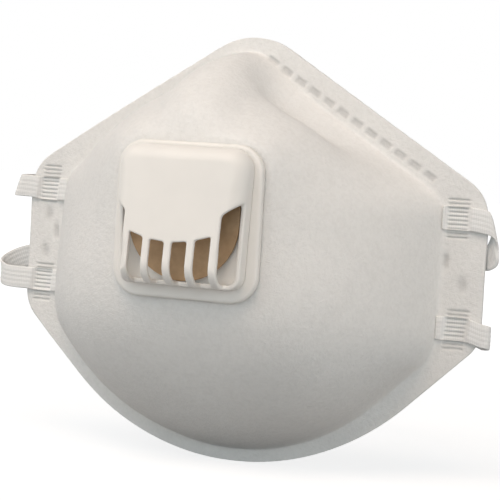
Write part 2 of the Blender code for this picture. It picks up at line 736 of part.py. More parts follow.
def build_cup():
    grid = cup_grid()
    normals = inward(grid)
    cup_faces = np.cumsum([0.0, OUTER_PLY, PLY_GAP, FILTER_PLY, PLY_GAP, INNER_PLY])
    flange_faces = np.cumsum([0.0, FLANGE_PLY, PLY_GAP, FLANGE_PLY, PLY_GAP, FLANGE_PLY])
    depths = [depth_below(cup, flange) for cup, flange in zip(cup_faces, flange_faces)]
    shell("outer_shell", grid, normals, depths[0], depths[1], finish("outer_web", *WEB))
    shell("filter_layer", grid, normals, depths[2], depths[3], finish("filter_web", *FILTER))
    shell("inner_shell", grid, normals, depths[4], depths[5], finish("inner_web", *WEB))
    foam_strip("nose_foam", grid, normals, finish("foam", *FOAM))


def build_valve():
    frame = bpy.data.objects.new("valve_frame", None)
    frame.location = (0.0, -CUP_DEPTH - FLANGE_THICKNESS, VALVE_HEIGHT)
    frame.rotation_euler = (math.pi / 2, 0.0, 0.0)
    bpy.context.scene.collection.objects.link(frame)
    valve_seat(frame, finish("seat_plastic", *PLASTIC))
    valve_flap(frame, finish("flap_rubber", *RUBBER))
    valve_cover(frame, finish("cover_plastic", *PLASTIC))
    retaining_ring(frame, finish("ring_plastic", *PLASTIC))


def build_straps():
    levels = {"upper": (UPPER_STRAP_HEIGHT, UPPER_DROOP), "lower": (-LOWER_STRAP_DROP, LOWER_DROOP)}
    for place, (level, droop) in levels.items():
        elastic = finish(place + "_elastic", *ELASTIC)
        strap_end(place + "_strap_left_end", -1, level, elastic)
        strap_end(place + "_strap_right_end", 1, level, elastic)
        strap_loop(place + "_strap_loop", level, droop, elastic)


def main():
    clear_scene()
    build_cup()
    build_valve()
    build_straps()


main()
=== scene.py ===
"""Disposable dust mask: fine surfaces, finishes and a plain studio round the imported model.

Lengths are in metres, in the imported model's frame: +Z is up towards the nose, -Y is the way the
wearer looks and X runs from cheek to cheek. The valve has a frame of its own, (across, up, out),
on the axis of its port, with out = 0 on the front of the cup.
"""

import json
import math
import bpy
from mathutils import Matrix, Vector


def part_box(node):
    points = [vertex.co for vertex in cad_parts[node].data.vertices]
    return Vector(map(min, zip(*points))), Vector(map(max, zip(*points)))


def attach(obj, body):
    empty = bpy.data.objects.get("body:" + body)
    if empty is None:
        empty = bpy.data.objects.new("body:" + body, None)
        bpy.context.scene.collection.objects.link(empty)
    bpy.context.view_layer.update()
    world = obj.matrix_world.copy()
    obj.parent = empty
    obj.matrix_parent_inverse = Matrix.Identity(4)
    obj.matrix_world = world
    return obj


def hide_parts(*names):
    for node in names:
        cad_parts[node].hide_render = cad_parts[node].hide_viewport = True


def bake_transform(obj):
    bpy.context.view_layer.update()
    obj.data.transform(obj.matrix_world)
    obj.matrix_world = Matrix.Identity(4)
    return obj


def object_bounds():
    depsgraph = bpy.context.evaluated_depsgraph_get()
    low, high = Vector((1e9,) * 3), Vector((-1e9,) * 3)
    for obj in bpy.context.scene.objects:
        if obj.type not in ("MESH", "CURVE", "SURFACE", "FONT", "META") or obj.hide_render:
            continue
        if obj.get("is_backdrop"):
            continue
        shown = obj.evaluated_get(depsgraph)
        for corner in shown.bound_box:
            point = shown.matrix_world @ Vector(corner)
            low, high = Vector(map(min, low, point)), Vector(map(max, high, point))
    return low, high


bl_info = {
    "name": "Dust mask",
    "version": (1, 0, 0),
    "blender": (4, 5, 0),
    "location": "3D View > Sidebar > Dust mask",
    "description": "Builds the webs, valve, straps and studio of a moulded cup dust mask",
    "category": "Object",
}

import bpy
import numpy as np
from bpy.props import FloatProperty, FloatVectorProperty, IntProperty, PointerProperty
from mathutils import Matrix

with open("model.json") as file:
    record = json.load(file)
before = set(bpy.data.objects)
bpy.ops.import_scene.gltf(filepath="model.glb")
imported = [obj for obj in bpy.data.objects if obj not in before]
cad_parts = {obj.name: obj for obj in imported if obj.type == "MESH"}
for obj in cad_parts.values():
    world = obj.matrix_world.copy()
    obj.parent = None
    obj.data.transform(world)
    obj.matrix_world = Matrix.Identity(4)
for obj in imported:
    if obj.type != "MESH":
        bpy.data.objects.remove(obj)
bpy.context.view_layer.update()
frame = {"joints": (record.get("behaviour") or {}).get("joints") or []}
SHELL_LOW, SHELL_HIGH = (np.array(corner, float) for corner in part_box("outer_shell"))
PLATE_LOW, PLATE_HIGH = (np.array(corner, float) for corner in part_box("valve_seat"))
HOOD_LOW, HOOD_HIGH = (np.array(corner, float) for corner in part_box("valve_cover"))
FLAP_LOW, FLAP_HIGH = (np.array(corner, float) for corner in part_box("valve_flap"))
RING_LOW, RING_HIGH = (np.array(corner, float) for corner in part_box("valve_retaining_ring"))
HINGES = {joint["name"]: np.array(joint["pos_m"], float) for joint in frame["joints"]}

# Where the valve sits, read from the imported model
PAD_FRONT = SHELL_LOW[1]
VALVE_HEIGHT = (PLATE_LOW[2] + PLATE_HIGH[2]) / 2
MM = 0.001


# Settings

def length(name, description, default):
    return FloatProperty(name=name, description=description, default=float(default), min=0.0,
                         subtype="DISTANCE", unit="LENGTH", precision=5)


def factor(name, description, default, highest=1.0):
    return FloatProperty(name=name, description=description, default=default, min=0.0, max=highest,
                         subtype="FACTOR")


def angle(name, description, degrees):
    return FloatProperty(name=name, description=description, default=math.radians(degrees),
                         subtype="ANGLE", unit="ROTATION")


def colour(name, description, default):
    return FloatVectorProperty(name=name, description=description, default=default, size=3, min=0.0,
                               max=1.0, subtype="COLOR")


def power(name, description, default):
    return FloatProperty(name=name, description=description, default=default, min=0.0, unit="POWER")


class CupSettings(bpy.types.PropertyGroup):
    """Sizes of the moulded cup and its welded flange."""
    half_width: length("Half width", "Middle of the mask to the edge of a wing", SHELL_HIGH[0])
    peak: length("Peak", "Height at which the two upper edges would meet", 0.0598)
    chin: length("Chin", "Lower edge of the flange below the origin", -SHELL_LOW[2])
    wing_top: length("Wing top", "Corner of the upper edge and the side", 0.0170)
    wing_bottom: length("Wing bottom", "Corner of the side and the lower edge, below the origin", 0.0231)
    chin_half_width: length("Chin half width", "Where the lower edge would meet the chin's level", 0.0283)
    wing_sweep: length("Wing sweep", "How far the wings bend back towards the ears", 0.0040)
    right_trim: length("Right trim", "How much nearer the right wing's edge is than the left one's", 0.0009)
    depth: length("Cup depth", "Flange to the pad under the valve", 0.0380)
    outer_ply: length("Outer ply", "Thickness of the outer web over the cup", 0.0006)
    filter_ply: length("Filter ply", "Thickness of the filter web over the cup", 0.0006)
    inner_ply: length("Inner ply", "Thickness of the inner web over the cup", 0.0009)
    flange_ply: length("Flange ply", "Thickness of each web in the flange", 0.0004)
    ply_gap: length("Ply gap", "Air between two webs", 0.00015)
    mark_depth: length("Weld mark depth", "Depth of the marks along the upper edge", 0.00038)
    bar_depth: length("Weld bar depth", "Depth of the bars that hold the straps", 0.00034)
    hollow: length("Hollow", "Depth of the hollow beside the nose", 0.0042)
    waviness: length("Waviness", "Height of the slow waves of the pressed web", 0.00010)
    pad_thickness: length("Nose pad thickness", "Soft strip inside the nose", 0.0040)


class ValveSettings(bpy.types.PropertyGroup):
    """Sizes of the exhalation valve."""
    port_radius: length("Port radius", "Opening through the plate", 0.0135)
    lip_width: length("Lip width", "Sealing lip round the port", 0.0011)
    plate_corner: length("Plate corner", "Corner radius of the square plate", 0.0075)
    plate_edge: length("Plate edge", "Rounding of the plate's front edge", 0.0008)
    hood_corner: length("Hood corner", "Radius of the hood's upper corners in plan", 0.0060)
    frame_corner: length("Frame corner", "Radius of the hood's lower corners in plan", 0.0036)
    hood_round: length("Hood rounding", "Rounding between the hood's upper walls and front", 0.0034)
    bar_bend: length("Bar bend", "Radius by which the bars bend back to the frame", 0.0060)
    hood_wall: length("Hood wall", "Wall thickness of the hood", 0.0013)
    frame_rise: length("Frame rise", "Front of the low frame above the plate", 0.0033)
    brow_rise: length("Brow rise", "Hood's front above the plate, at the top", 0.0070)
    front_rise: length("Front rise", "Hood's front above the plate, at the bottom", 0.0114)
    crown: length("Crown", "How much higher the hood is at the middle than at the sides", 0.0024)
    bars: IntProperty(name="Bars", description="Bars over the lower front", default=5, min=2, max=9)
    bar_width: length("Bar width", "Width of one bar", 0.0020)
    bar_pitch: length("Bar pitch", "Middle of one bar to the next", 0.00624)


class StrapSettings(bpy.types.PropertyGroup):
    """Sizes of the elastic head straps."""
    width: length("Width", "Width of the flat elastic", 0.0063)
    thickness: length("Thickness", "Thickness of the flat elastic", 0.0010)
    reach: length("Loop reach", "How far the loops stand behind the mask", 0.0680)
    upper_droop: angle("Upper droop", "Slope of the upper loop below the level", 5.0)
    lower_droop: angle("Lower droop", "Slope of the lower loop below the level", 10.0)
    ribs: IntProperty(name="Ribs", description="Ribs along the elastic", default=5, min=1, max=12)
    rib_height: length("Rib height", "Height of the ribs", 0.00003)


class FinishSettings(bpy.types.PropertyGroup):
    """Colours of the finishes."""
    web: colour("Web", "Pressed outer and inner web", (0.83, 0.815, 0.79))
    web_shade: colour("Web shade", "Thin places of the web", (0.785, 0.77, 0.745))
    filter_web: colour("Filter web", "Web between the shells", (0.88, 0.88, 0.87))
    foam: colour("Foam", "Strip inside the nose", (0.74, 0.74, 0.73))
    plastic: colour("Plastic", "Moulded valve", (0.84, 0.81, 0.765))
    rubber: colour("Rubber", "Valve flap", (0.50, 0.33, 0.19))
    rubber_shade: colour("Rubber shade", "Darker clouds in the flap", (0.40, 0.26, 0.145))
    elastic: colour("Elastic", "Head straps", (0.84, 0.83, 0.81))
    floor: colour("Floor", "Pale floor", (0.35, 0.35, 0.35))


class StageSettings(bpy.types.PropertyGroup):
    """Light, floor and camera."""
    light: power("Light", "Power of a light with a share of 1", 8.0)
    world: factor("World light", "Strength of the even light from all round", 0.15, 2.0)
    floor_glow: factor("Floor glow", "Own brightness of the floor under the mask, as the camera sees it",
                       0.76, 2.0)
    azimuth: angle("Azimuth", "Camera turned round the mask, from the front", 22.0)
    elevation: angle("Elevation", "Camera above the level", 3.048)
    roll: angle("Roll", "Camera turned about its own axis", -3.391)
    distance: length("Distance", "Camera to the mask", 0.5748)
    lens: FloatProperty(name="Lens", description="Focal length", default=149.04, min=1.0, unit="CAMERA")


class DustMaskSettings(bpy.types.PropertyGroup):
    """All settings of the dust mask."""
    cup: PointerProperty(type=CupSettings)
    valve: PointerProperty(type=ValveSettings)
    strap: PointerProperty(type=StrapSettings)
    finish: PointerProperty(type=FinishSettings)
    stage: PointerProperty(type=StageSettings)


# Meshes

def grid_quads(rows, columns, close_rows=False, close_columns=False):
    """Faces of a grid of points: each joins a point, its neighbour and the two in the next row."""
    row = np.arange(rows if close_rows else rows - 1)[:, None]
    column = np.arange(columns if close_columns else columns - 1)[None, :]
    below, beside = (row + 1) % rows, (column + 1) % columns
    corners = (row * columns + column, row * columns + beside, below * columns + beside,
               below * columns + column)
    return np.stack(np.broadcast_arrays(*corners), axis=-1).reshape(-1, 4)


def band_quads(stations, half):
    """Faces of a closed band whose profile has half its points on the front and half on the back.

    Point k of the front lies over point 2 * half - 1 - k of the back, so strips of faces close
    the two ends.
    """
    count = 2 * half
    sides = grid_quads(stations, count, close_columns=True)
    front = np.arange(half - 1)
    back = count - 1 - front
    first = np.column_stack([front + 1, front, back, back - 1])
    last = np.column_stack([front, front + 1, back - 1, back]) + (stations - 1) * count
    return np.vstack([sides, first, last])


def outward(points, quads):
    """Turns every face round if the volume that they enclose comes out negative."""
    first, second, third, fourth = (points[quads[:, corner]] for corner in range(4))
    volume = np.einsum("ij,ij->", first, np.cross(second, third) + np.cross(third, fourth))
    return quads if volume > 0 else quads[:, ::-1]


def make_piece(name, points, quads, material, nodes, uv=None, pressed=None):
    """A smooth mesh object from arrays of points and quads, standing for CAD nodes.

    The share by which each point is pressed in a weld is kept as an attribute for the finish, which greys the
    fused web by it and also paints shade into the pressed-in hollows.
    """
    points = np.ascontiguousarray(points.reshape(-1, 3))
    quads = np.ascontiguousarray(outward(points, quads))
    if not np.isfinite(points).all():
        raise RuntimeError(name + " has points that are not numbers")
    mesh = bpy.data.meshes.new(name)
    mesh.vertices.add(len(points))
    mesh.vertices.foreach_set("co", points.ravel())
    mesh.loops.add(quads.size)
    mesh.loops.foreach_set("vertex_index", quads.ravel())
    mesh.polygons.add(len(quads))
    mesh.polygons.foreach_set("loop_start", np.arange(0, quads.size, 4))
    mesh.update(calc_edges=True)
    if mesh.validate():
        raise RuntimeError(name + " has faces that are not valid")
    if uv is not None:
        layer = mesh.uv_layers.new(name="UVMap")
        layer.data.foreach_set("uv", np.ascontiguousarray(uv[quads.ravel()]).ravel())
    if pressed is not None:
        shares = mesh.attributes.new("pressed", "FLOAT", "POINT")
        shares.data.foreach_set("value", np.ascontiguousarray(pressed.ravel()))
    mesh.shade_smooth()
    mesh.materials.append(material)
    piece = bpy.data.objects.new(name, mesh)
    bpy.context.scene.collection.objects.link(piece)
    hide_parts(*nodes)
    return piece


def smooth_step(value, low, high):
    """0 below low, 1 above high and a smooth cubic between."""
    share = np.clip((value - low) / (high - low), 0.0, 1.0)
    return share * share * (3 - 2 * share)


# Cup and flange

STRIPS = (0.0080, 0.0123, 0.0060, 0.0037)    # flange beside the upper edge, wing, lower edge, chin
FLANGE_RADII = (0.0190, 0.0120, 0.0100)      # peak, wing top, wing bottom
FOOT_RADII = (0.0120, 0.0090, 0.0140)        # the same corners of the cup's foot
HOLE_RADIUS = 0.0162
PAD_SIDE = PLATE_HIGH[0] + 0.0015            # the flat pad reaches a little past the plate
PAD_SQUARENESS = 5.0
NOSE_FULLNESS, SIDE_FULLNESS, CHIN_FULLNESS = 1.35, 1.35, 1.50
# Nose: how much further out its foot lies, round the valve's axis in degrees from +X, and how much
# fuller that makes it; then the hollow in the wall on its right, and where it is negative a bulge
BRIDGE_ANGLES = (36.0, 60.0, 74.0, 82.0, 90.0, 97.0, 103.0, 109.0, 118.0, 134.0, 156.0, 172.0)
BRIDGE_SHIFTS = (0.0, 0.0, 0.0008, 0.0026, 0.0040, 0.0044, 0.0044, 0.0034, 0.0014, 0.0013, 0.0008, 0.0)
BRIDGE_FULLNESS = 0.15 / MM
HOLLOW_ANGLES = (20.0, 31.0, 42.0, 58.0, 72.0, 80.0, 87.0, 100.0, 114.0, 134.0, 156.0, 172.0)
HOLLOW_SHARES = (0.0, 0.50, 0.92, 1.0, 0.95, 0.60, 0.0, 0.0, -0.30, -0.35, -0.30, 0.0)
HOLLOW_HEIGHT, HOLLOW_SPREAD, HOLLOW_FADE = 0.0100, 0.0070, 0.0040
JOWL_FULLNESS = 0.30         # how much fuller the cup is between the wings and the chin
FOOT_BLUR, TABLE_BLUR, ROUND_STEPS = math.radians(58.0), math.radians(8.0), 1440
CORNER_POWER = 4             # how late the foot's own corners come in on the way down to it
PAD_ROWS, DOME_ROWS, FLANGE_ROWS = 6, 40, 24
FOOT_ROW, PAD_EDGE_ROW = PAD_ROWS + DOME_ROWS, PAD_ROWS + 2
SMOOTH_ROWS, FOOT_ROUNDS, PAD_ROUNDS = 4.0, 7, 4    # rows and rounds of smoothing at the two edges
FREE_ROWS = 3, 14            # rows past the pad over which the waves come in
PLY_ROWS, WELD_ROWS = (-4, 2), (-2, 3)    # rows about the foot over which plies thin and welds begin
WAVE_SEED, WAVE_LENGTHS, WAVE_COUNT = 5, (0.009, 0.034), 9
EDGE_FILL, FINE_ANGLES = 12, 40001
FINE_STEP, EDGE_STEP, PLAIN_STEP = 0.00017, 0.00046, 0.0014
MARKED_ABOVE, MARKED_BESIDE, PATCH_MARGIN = 0.018, 0.004, 0.56    # where the finer steps are

# Welds: middle of each strap's patch, (across, up), and its lean, by strap and side; then the marks,
# the stamps and the dents
BAR_PATCHES = {"upper": {1: (0.0602, 0.0105, 0.0), -1: (-0.0625, 0.0122, 0.11)},
               "lower": {1: (0.0613, -0.0193, 0.11), -1: (-0.0634, -0.0163, 0.07)}}
BAR_PATCH_SIZE, BAR_PATCH_SOFT, BAR_PATCH_SINK = (0.0056, 0.0113), 0.0003, 0.00006
BAR_COUNT, BAR_WIDTH = 10, 0.00026
MARKS, MARK_FIRST, MARK_PITCH, MARK_INSET = 12, 0.0098, 0.00495, 0.0054
MARK_SIZE, MARK_SOFT = (0.0033, 0.0018), 0.0007
STAMPS = (0.0575, -0.0012), (-0.0598, -0.0013)
STAMP_SIZE, STAMP_SOFT, STAMP_DEPTH = (0.0015, 0.0037), 0.0006, 0.00042
DENTS = (0.0623, -0.0069), (-0.0625, 0.0037), (-0.0634, -0.0071)
DENT_SIZE, DENT_DEPTH = (0.0012, 0.0017), 0.00055
PRESSED_PARTS = (1.0, 1.0, 0.85, 0.85, 0.65, -0.1)    # how far each face of the webs goes with a weld
FULL_PRESS = 0.0004          # depth from which a web looks wholly fused and takes the whole painted shade of its hollow


def round_corner(corner, before, after, radius, count=24):
    """Points of the arc of a radius that touches the two lines from a corner to its neighbours."""
    corner = np.array(corner, float)
    first = np.array(before, float) - corner
    last = np.array(after, float) - corner
    first /= np.linalg.norm(first)
    last /= np.linalg.norm(last)
    half = 0.5 * math.acos(np.clip(first @ last, -1.0, 1.0))
    middle = first + last
    centre = corner + middle / np.linalg.norm(middle) * radius / math.sin(half)
    begin = corner + first * radius / math.tan(half) - centre
    end = corner + last * radius / math.tan(half) - centre
    start = math.atan2(begin[1], begin[0])
    turn = (math.atan2(end[1], end[0]) - start + math.pi) % (2 * math.pi) - math.pi
    angles = start + turn * np.linspace(0.0, 1.0, count)
    return centre + radius * np.column_stack([np.cos(angles), np.sin(angles)])


def half_outline(corners, radii):
    """Right half of a mirrored outline from top to bottom: arcs at the corners, lines between."""
    last = len(corners) - 1
    before = [(-corners[1][0], corners[1][1])] + list(corners[:-1])
    after = list(corners[1:]) + [(-corners[last][0], corners[last][1])]
    arcs = [round_corner(*corner) for corner in zip(corners, before, after, radii)]
    outline = np.vstack(arcs)
    shares = np.linspace(0.0, 1.0, EDGE_FILL, endpoint=False)[None, :, None]
    filled = outline[:-1, None] * (1 - shares) + outline[1:, None] * shares
    filled = np.vstack([filled.reshape(-1, 2), outline[-1:]])
    return filled[filled[:, 0] > -1e-9]


def chin_radius(corner, chin):
    """Radius of the arc from the lower edge to the middle of the chin."""
    slope = math.atan2(corner[1] - chin[1], corner[0] - chin[0])
    return chin[0] / math.tan(slope / 2)


def meet(point, along, other, across):
    """Point where two lines meet, each given by a point and a direction."""
    steps = np.linalg.solve(np.column_stack([along, -across]), other - point)
    return point + along * steps[0]


def flange_corners(cup):
    """Corners of the flange's right half, from the peak down to the chin."""
    return [(0.0, cup.peak), (cup.half_width, cup.wing_top), (cup.half_width, -cup.wing_bottom),
            (cup.chin_half_width, -cup.chin)]


def flange_outline(cup):
    """Right half of the flange's edge."""
    corners = flange_corners(cup)
    return half_outline(corners, [*FLANGE_RADII, chin_radius(corners[2], corners[3])])


def foot_outline(cup):
    """The flange's outline with each side moved in by the width of its strip."""
    corners = [np.array(corner) for corner in flange_corners(cup)] + [np.array([0.0, -cup.chin])]
    lines = []
    for start, end, width in zip(corners, corners[1:], STRIPS):
        along = (end - start) / np.linalg.norm(end - start)
        lines.append((start + width * np.array([along[1], -along[0]]), along))
    top = meet(*lines[0], np.zeros(2), np.array([0.0, 1.0]))
    inner = [meet(*one, *two) for one, two in zip(lines, lines[1:])]
    return half_outline([tuple(top)] + [tuple(corner) for corner in inner],
                        [*FOOT_RADII, chin_radius(inner[1], inner[2])])


def reach(outline, angles):
    """Distance from the valve's axis to an outline, in each direction round that axis."""
    rise = outline[:, 1] - VALVE_HEIGHT
    bearing = np.arctan2(rise, outline[:, 0])
    order = np.argsort(bearing)
    folded = np.arctan2(np.sin(angles), np.abs(np.cos(angles)))
    return np.interp(folded, bearing[order], np.hypot(rise, outline[:, 0])[order])


def all_patches():
    """Middle and lean of every strap's weld patch."""
    return [patch for sides in BAR_PATCHES.values() for patch in sides.values()]


def spread_angles(cup):
    """Angles round the valve's axis, close together where the welds are.

    Each place has a wanted step along the flange's edge. The running sum of 1 / step counts the
    points, and reading it backwards gives their angles.
    """
    fine = np.linspace(-0.5 * math.pi, 1.5 * math.pi, FINE_ANGLES)
    edge = reach(flange_outline(cup), fine)
    across, up = edge * np.cos(fine), VALVE_HEIGHT + edge * np.sin(fine)
    step = np.where((up > MARKED_ABOVE) & (np.abs(across) > MARKED_BESIDE), EDGE_STEP, PLAIN_STEP)
    for place, level, _ in all_patches():
        bearing = math.atan2(level - VALVE_HEIGHT, place) % (2 * math.pi)
        turned = np.abs((fine - bearing + math.pi) % (2 * math.pi) - math.pi)
        step = np.where(turned < PATCH_MARGIN * BAR_PATCH_SIZE[1] / abs(place), FINE_STEP, step)
    counted = np.concatenate([[0.0], np.cumsum(edge[1:] * np.diff(fine) / step[1:])])
    count = int(counted[-1])
    return np.interp(np.arange(count) / count * counted[-1], counted, fine)


def even_round():
    """Angles at even steps round the circle."""
    return np.arange(ROUND_STEPS) * 2 * math.pi / ROUND_STEPS


def blurred(angles, values, blur):
    """Reads values at even steps round the circle, averaged under a cosine window, at some angles.

    The window reaches as far as the blur to each side.
    """
    half = max(1, round(blur / (2 * math.pi) * ROUND_STEPS))
    window = 1 + np.cos(np.linspace(-math.pi, math.pi, 2 * half + 1))
    wrapped = np.concatenate([values[-half:], values, values[:half]])
    smooth = np.convolve(wrapped, window / window.sum(), mode="valid")
    return np.interp(angles, even_round(), smooth, period=2 * math.pi)


def through(angles, places, values):
    """A smooth curve of an angle near values at places given in degrees."""
    return blurred(angles, np.interp(np.degrees(even_round()), places, values), TABLE_BLUR)


def hollow(cup, angles, heights):
    """How far the wall beside the nose stands in or out: a Gaussian in height, zero at the foot."""
    shares = through(angles, HOLLOW_ANGLES, HOLLOW_SHARES)
    dip = np.exp(-((heights - HOLLOW_HEIGHT) / HOLLOW_SPREAD) ** 2) * smooth_step(heights, 0.0, HOLLOW_FADE)
    return cup.hollow * shares * dip


def relax(points, weights, rounds):
    """Moves each point towards the mean of its neighbours along its column, by its row's weight."""
    weights = weights.reshape(-1, 1, 1)
    for _ in range(rounds):
        middle = (points[:-2] + points[2:]) / 2
        points[1:-1] += weights[1:-1] * (middle - points[1:-1])
    return points


def waves(points):
    """Mean of sine waves in seeded directions with seeded lengths and phases, between -1 and 1."""
    draw = np.random.default_rng(WAVE_SEED)
    directions = draw.normal(size=(WAVE_COUNT, 3))
    directions /= np.linalg.norm(directions, axis=1, keepdims=True)
    numbers = 2 * math.pi / draw.uniform(*WAVE_LENGTHS, WAVE_COUNT)
    phases = draw.uniform(0.0, 2 * math.pi, WAVE_COUNT)
    return np.sin(points @ (directions * numbers[:, None]).T + phases).mean(axis=-1)


def cup_surface(cup, angles):
    """Front of the cup and flange: rows round the valve's axis from the hole to the edge.

    The pad is flat. The dome falls from it as a super-ellipse, out by sin(t) ** (2 / p) while it
    drops by cos(t) ** (2 / p), with the hollow taken out; further in, the foot that it falls towards
    has rounder corners. The flange runs level to its edge, bent back by the cube of the distance
    across. The foot is rounded, and slow waves are laid over it all.
    """
    bridge = through(angles, BRIDGE_ANGLES, BRIDGE_SHIFTS)
    edge, foot = reach(flange_outline(cup), angles), reach(foot_outline(cup), angles) + bridge
    rounder = blurred(angles, reach(foot_outline(cup), even_round()), FOOT_BLUR) + bridge
    cosine, sine = np.abs(np.cos(angles)), np.abs(np.sin(angles))
    pad = PAD_SIDE / (cosine ** PAD_SQUARENESS + sine ** PAD_SQUARENESS) ** (1 / PAD_SQUARENESS)
    end_fullness = np.where(np.sin(angles) > 0, NOSE_FULLNESS, CHIN_FULLNESS)
    fullness = SIDE_FULLNESS + (end_fullness - SIDE_FULLNESS) * sine ** 2 + BRIDGE_FULLNESS * bridge
    fullness += np.where(np.sin(angles) < 0, JOWL_FULLNESS * (2 * sine * cosine) ** 2, 0.0)
    on_pad = np.linspace(0.0, 1.0, PAD_ROWS, endpoint=False)[:, None]
    turn = 0.5 * math.pi * np.linspace(0.0, 1.0, DOME_ROWS + 1)[:, None]
    on_flange = np.linspace(0.0, 1.0, FLANGE_ROWS + 1)[1:, None]
    share = np.sin(turn) ** (2 / fullness)
    dome = pad + (rounder + (foot - rounder) * share ** CORNER_POWER - pad) * share
    fall = cup.depth * np.maximum(np.cos(turn), 0.0) ** (2 / fullness)
    dome -= hollow(cup, angles, fall)
    radii = np.vstack([HOLE_RADIUS + (pad - HOLE_RADIUS) * on_pad, dome, foot + (edge - foot) * on_flange])
    heights = np.vstack([np.full((PAD_ROWS, len(angles)), cup.depth), fall,
                         np.zeros((FLANGE_ROWS, len(angles)))])
    across = radii * np.cos(angles)
    across -= cup.right_trim * np.maximum(across / cup.half_width, 0.0) ** 2
    flange = -PAD_FRONT - cup.depth
    sweep = cup.wing_sweep * (np.abs(across) / cup.half_width) ** 3 * (1 - heights / cup.depth)
    points = np.stack([across, sweep - flange - heights, VALVE_HEIGHT + radii * np.sin(angles)], axis=-1)
    row = np.arange(len(points))
    for middle, rounds in ((FOOT_ROW, FOOT_ROUNDS), (PAD_EDGE_ROW, PAD_ROUNDS)):
        points = relax(points, 0.5 * np.exp(-((row - middle) / SMOOTH_ROWS) ** 2), rounds)
    free = smooth_step(row - PAD_ROWS, *FREE_ROWS)[:, None]
    points[..., 1] += cup.waviness * free * 2 * waves(points)
    return points


def inward(points):
    """Unit normals of the rows, towards the wearer: the cross product of the two grid steps."""
    round_step = np.roll(points, -1, axis=1) - np.roll(points, 1, axis=1)
    normal = np.cross(np.gradient(points, axis=0), round_step)
    normal /= np.linalg.norm(normal, axis=-1, keepdims=True)
    return normal * np.sign(normal[:1, :1, 1:2])


def soft_box(across, up, size, soft):
    """1 inside a rectangle of a size about zero, 0 outside, with edges that fade over a length."""
    wide = smooth_step(size[0] / 2 - np.abs(across), -soft / 2, soft / 2)
    return wide * smooth_step(size[1] / 2 - np.abs(up), -soft / 2, soft / 2)


def bar_wave(up):
    """Grooves of the strap welds across a patch: Gaussian dips at an even pitch about its middle."""
    pitch = BAR_PATCH_SIZE[1] / BAR_COUNT
    offset = (up / pitch + 0.5 * BAR_COUNT) % 1.0 - 0.5
    return np.exp(-(offset * pitch / BAR_WIDTH) ** 2)


def weld_relief(cup, across, up):
    """Depth of the welds below the flange's face: marks on the right, strap bars, stamps and soft dents."""
    side = np.abs(across)
    edge = np.array([cup.half_width, cup.wing_top - cup.peak])
    edge /= np.linalg.norm(edge)
    along = side * edge[0] + (up - cup.peak) * edge[1]
    inset = side * edge[1] - (up - cup.peak) * edge[0]
    nearest = np.clip(np.round((along - MARK_FIRST) / MARK_PITCH), 0, MARKS - 1)
    marks = soft_box(along - MARK_FIRST - nearest * MARK_PITCH, inset - MARK_INSET, MARK_SIZE, MARK_SOFT)
    depth = cup.mark_depth * marks * (across > 0)
    for place, level, lean in all_patches():
        leaning = across - place - lean * (up - level)
        patch = soft_box(leaning, up - level, BAR_PATCH_SIZE, BAR_PATCH_SOFT)
        depth = np.maximum(depth, patch * (BAR_PATCH_SINK + cup.bar_depth * bar_wave(up - level)))
    for place, level in STAMPS:
        stamp = soft_box(across - place, up - level, STAMP_SIZE, STAMP_SOFT)
        depth = np.maximum(depth, STAMP_DEPTH * stamp)
    for place, level in DENTS:
        dent = np.exp(-((across - place) / DENT_SIZE[0]) ** 2 - ((up - level) / DENT_SIZE[1]) ** 2)
        depth = depth + DENT_DEPTH * dent
    return depth


def ply(front, back):
    """Points and faces of one web: its front rows, then every other back row the other way round."""
    behind = np.concatenate([back[-1:], back[-2:0:-2], back[:1]])
    rows = np.concatenate([front, behind])
    return rows, grid_quads(len(rows), rows.shape[1], close_rows=True, close_columns=True)


class DUSTMASK_OT_webs(bpy.types.Operator):
    """Outer, filter and inner webs of the cup, pressed together in the flange"""
    bl_idname = "dust_mask.webs"
    bl_label = "Webs"

    def execute(self, context):
        settings = context.scene.dust_mask
        cup, finish = settings.cup, settings.finish
        surface = cup_surface(cup, spread_angles(cup))
        normals = inward(surface)
        row = np.arange(len(surface)) - FOOT_ROW
        share = 1 - smooth_step(row, *PLY_ROWS)[:, None, None]
        relief = weld_relief(cup, surface[..., 0], surface[..., 2])[..., None]
        relief = relief * smooth_step(row, *WELD_ROWS)[:, None, None]
        cup_faces = np.cumsum([0.0, cup.outer_ply, cup.ply_gap, cup.filter_ply, cup.ply_gap, cup.inner_ply])
        plies = [cup.flange_ply, cup.ply_gap]
        flange_faces = np.cumsum([0.0, *plies, *plies, cup.flange_ply])
        faces = [surface + normals * (on_cup * share + on_flange * (1 - share))
                 for on_cup, on_flange in zip(cup_faces, flange_faces)]
        faces = [face + normals * relief * part for face, part in zip(faces, PRESSED_PARTS)]
        # Depth share of welds, stamps and dents, by which the finish greys the fused web and paints shade
        # into these hollows
        pressed = np.clip(relief[..., 0] / FULL_PRESS, 0.0, 1.0)
        outer = web_finish("outer_web", finish.web, finish.web_shade)
        middle = web_finish("filter_web", finish.filter_web, finish.web)
        inner = web_finish("inner_web", finish.web, finish.web_shade)
        for name, material, node, front, back, every in (
                ("outer_web", outer, "outer_shell", faces[0], faces[1], 1),
                ("filter_web", middle, "filter_layer", faces[2], faces[3], 2),
                ("inner_web", inner, "inner_shell", faces[5], faces[4], 1)):
            points, quads = ply(front[:, ::every], back[:, ::every])
            shares, _ = ply(pressed[:, ::every], pressed[:, ::every])
            piece = make_piece(name, points, quads, material, [node], pressed=shares)
            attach(piece, "mask_body")
        return {"FINISHED"}


# Nose pad

NOSE_PAD_SPAN = math.radians(51.5)
NOSE_PAD_TURN = math.radians(57.0), math.radians(87.0)
NOSE_PAD_STATIONS, NOSE_PAD_POINTS = 150, 36
OTHER_STATIONS = 60          # coarse ones, round the rest of the cup
NOSE_PAD_GAP = 0.0003
NOSE_PAD_EDGE = 0.16         # share of its thickness that is left at its edges
NOSE_PAD_WAVES = 4.5         # soft waves along each half of it
NOSE_PAD_WAVE_HEIGHT = 0.04


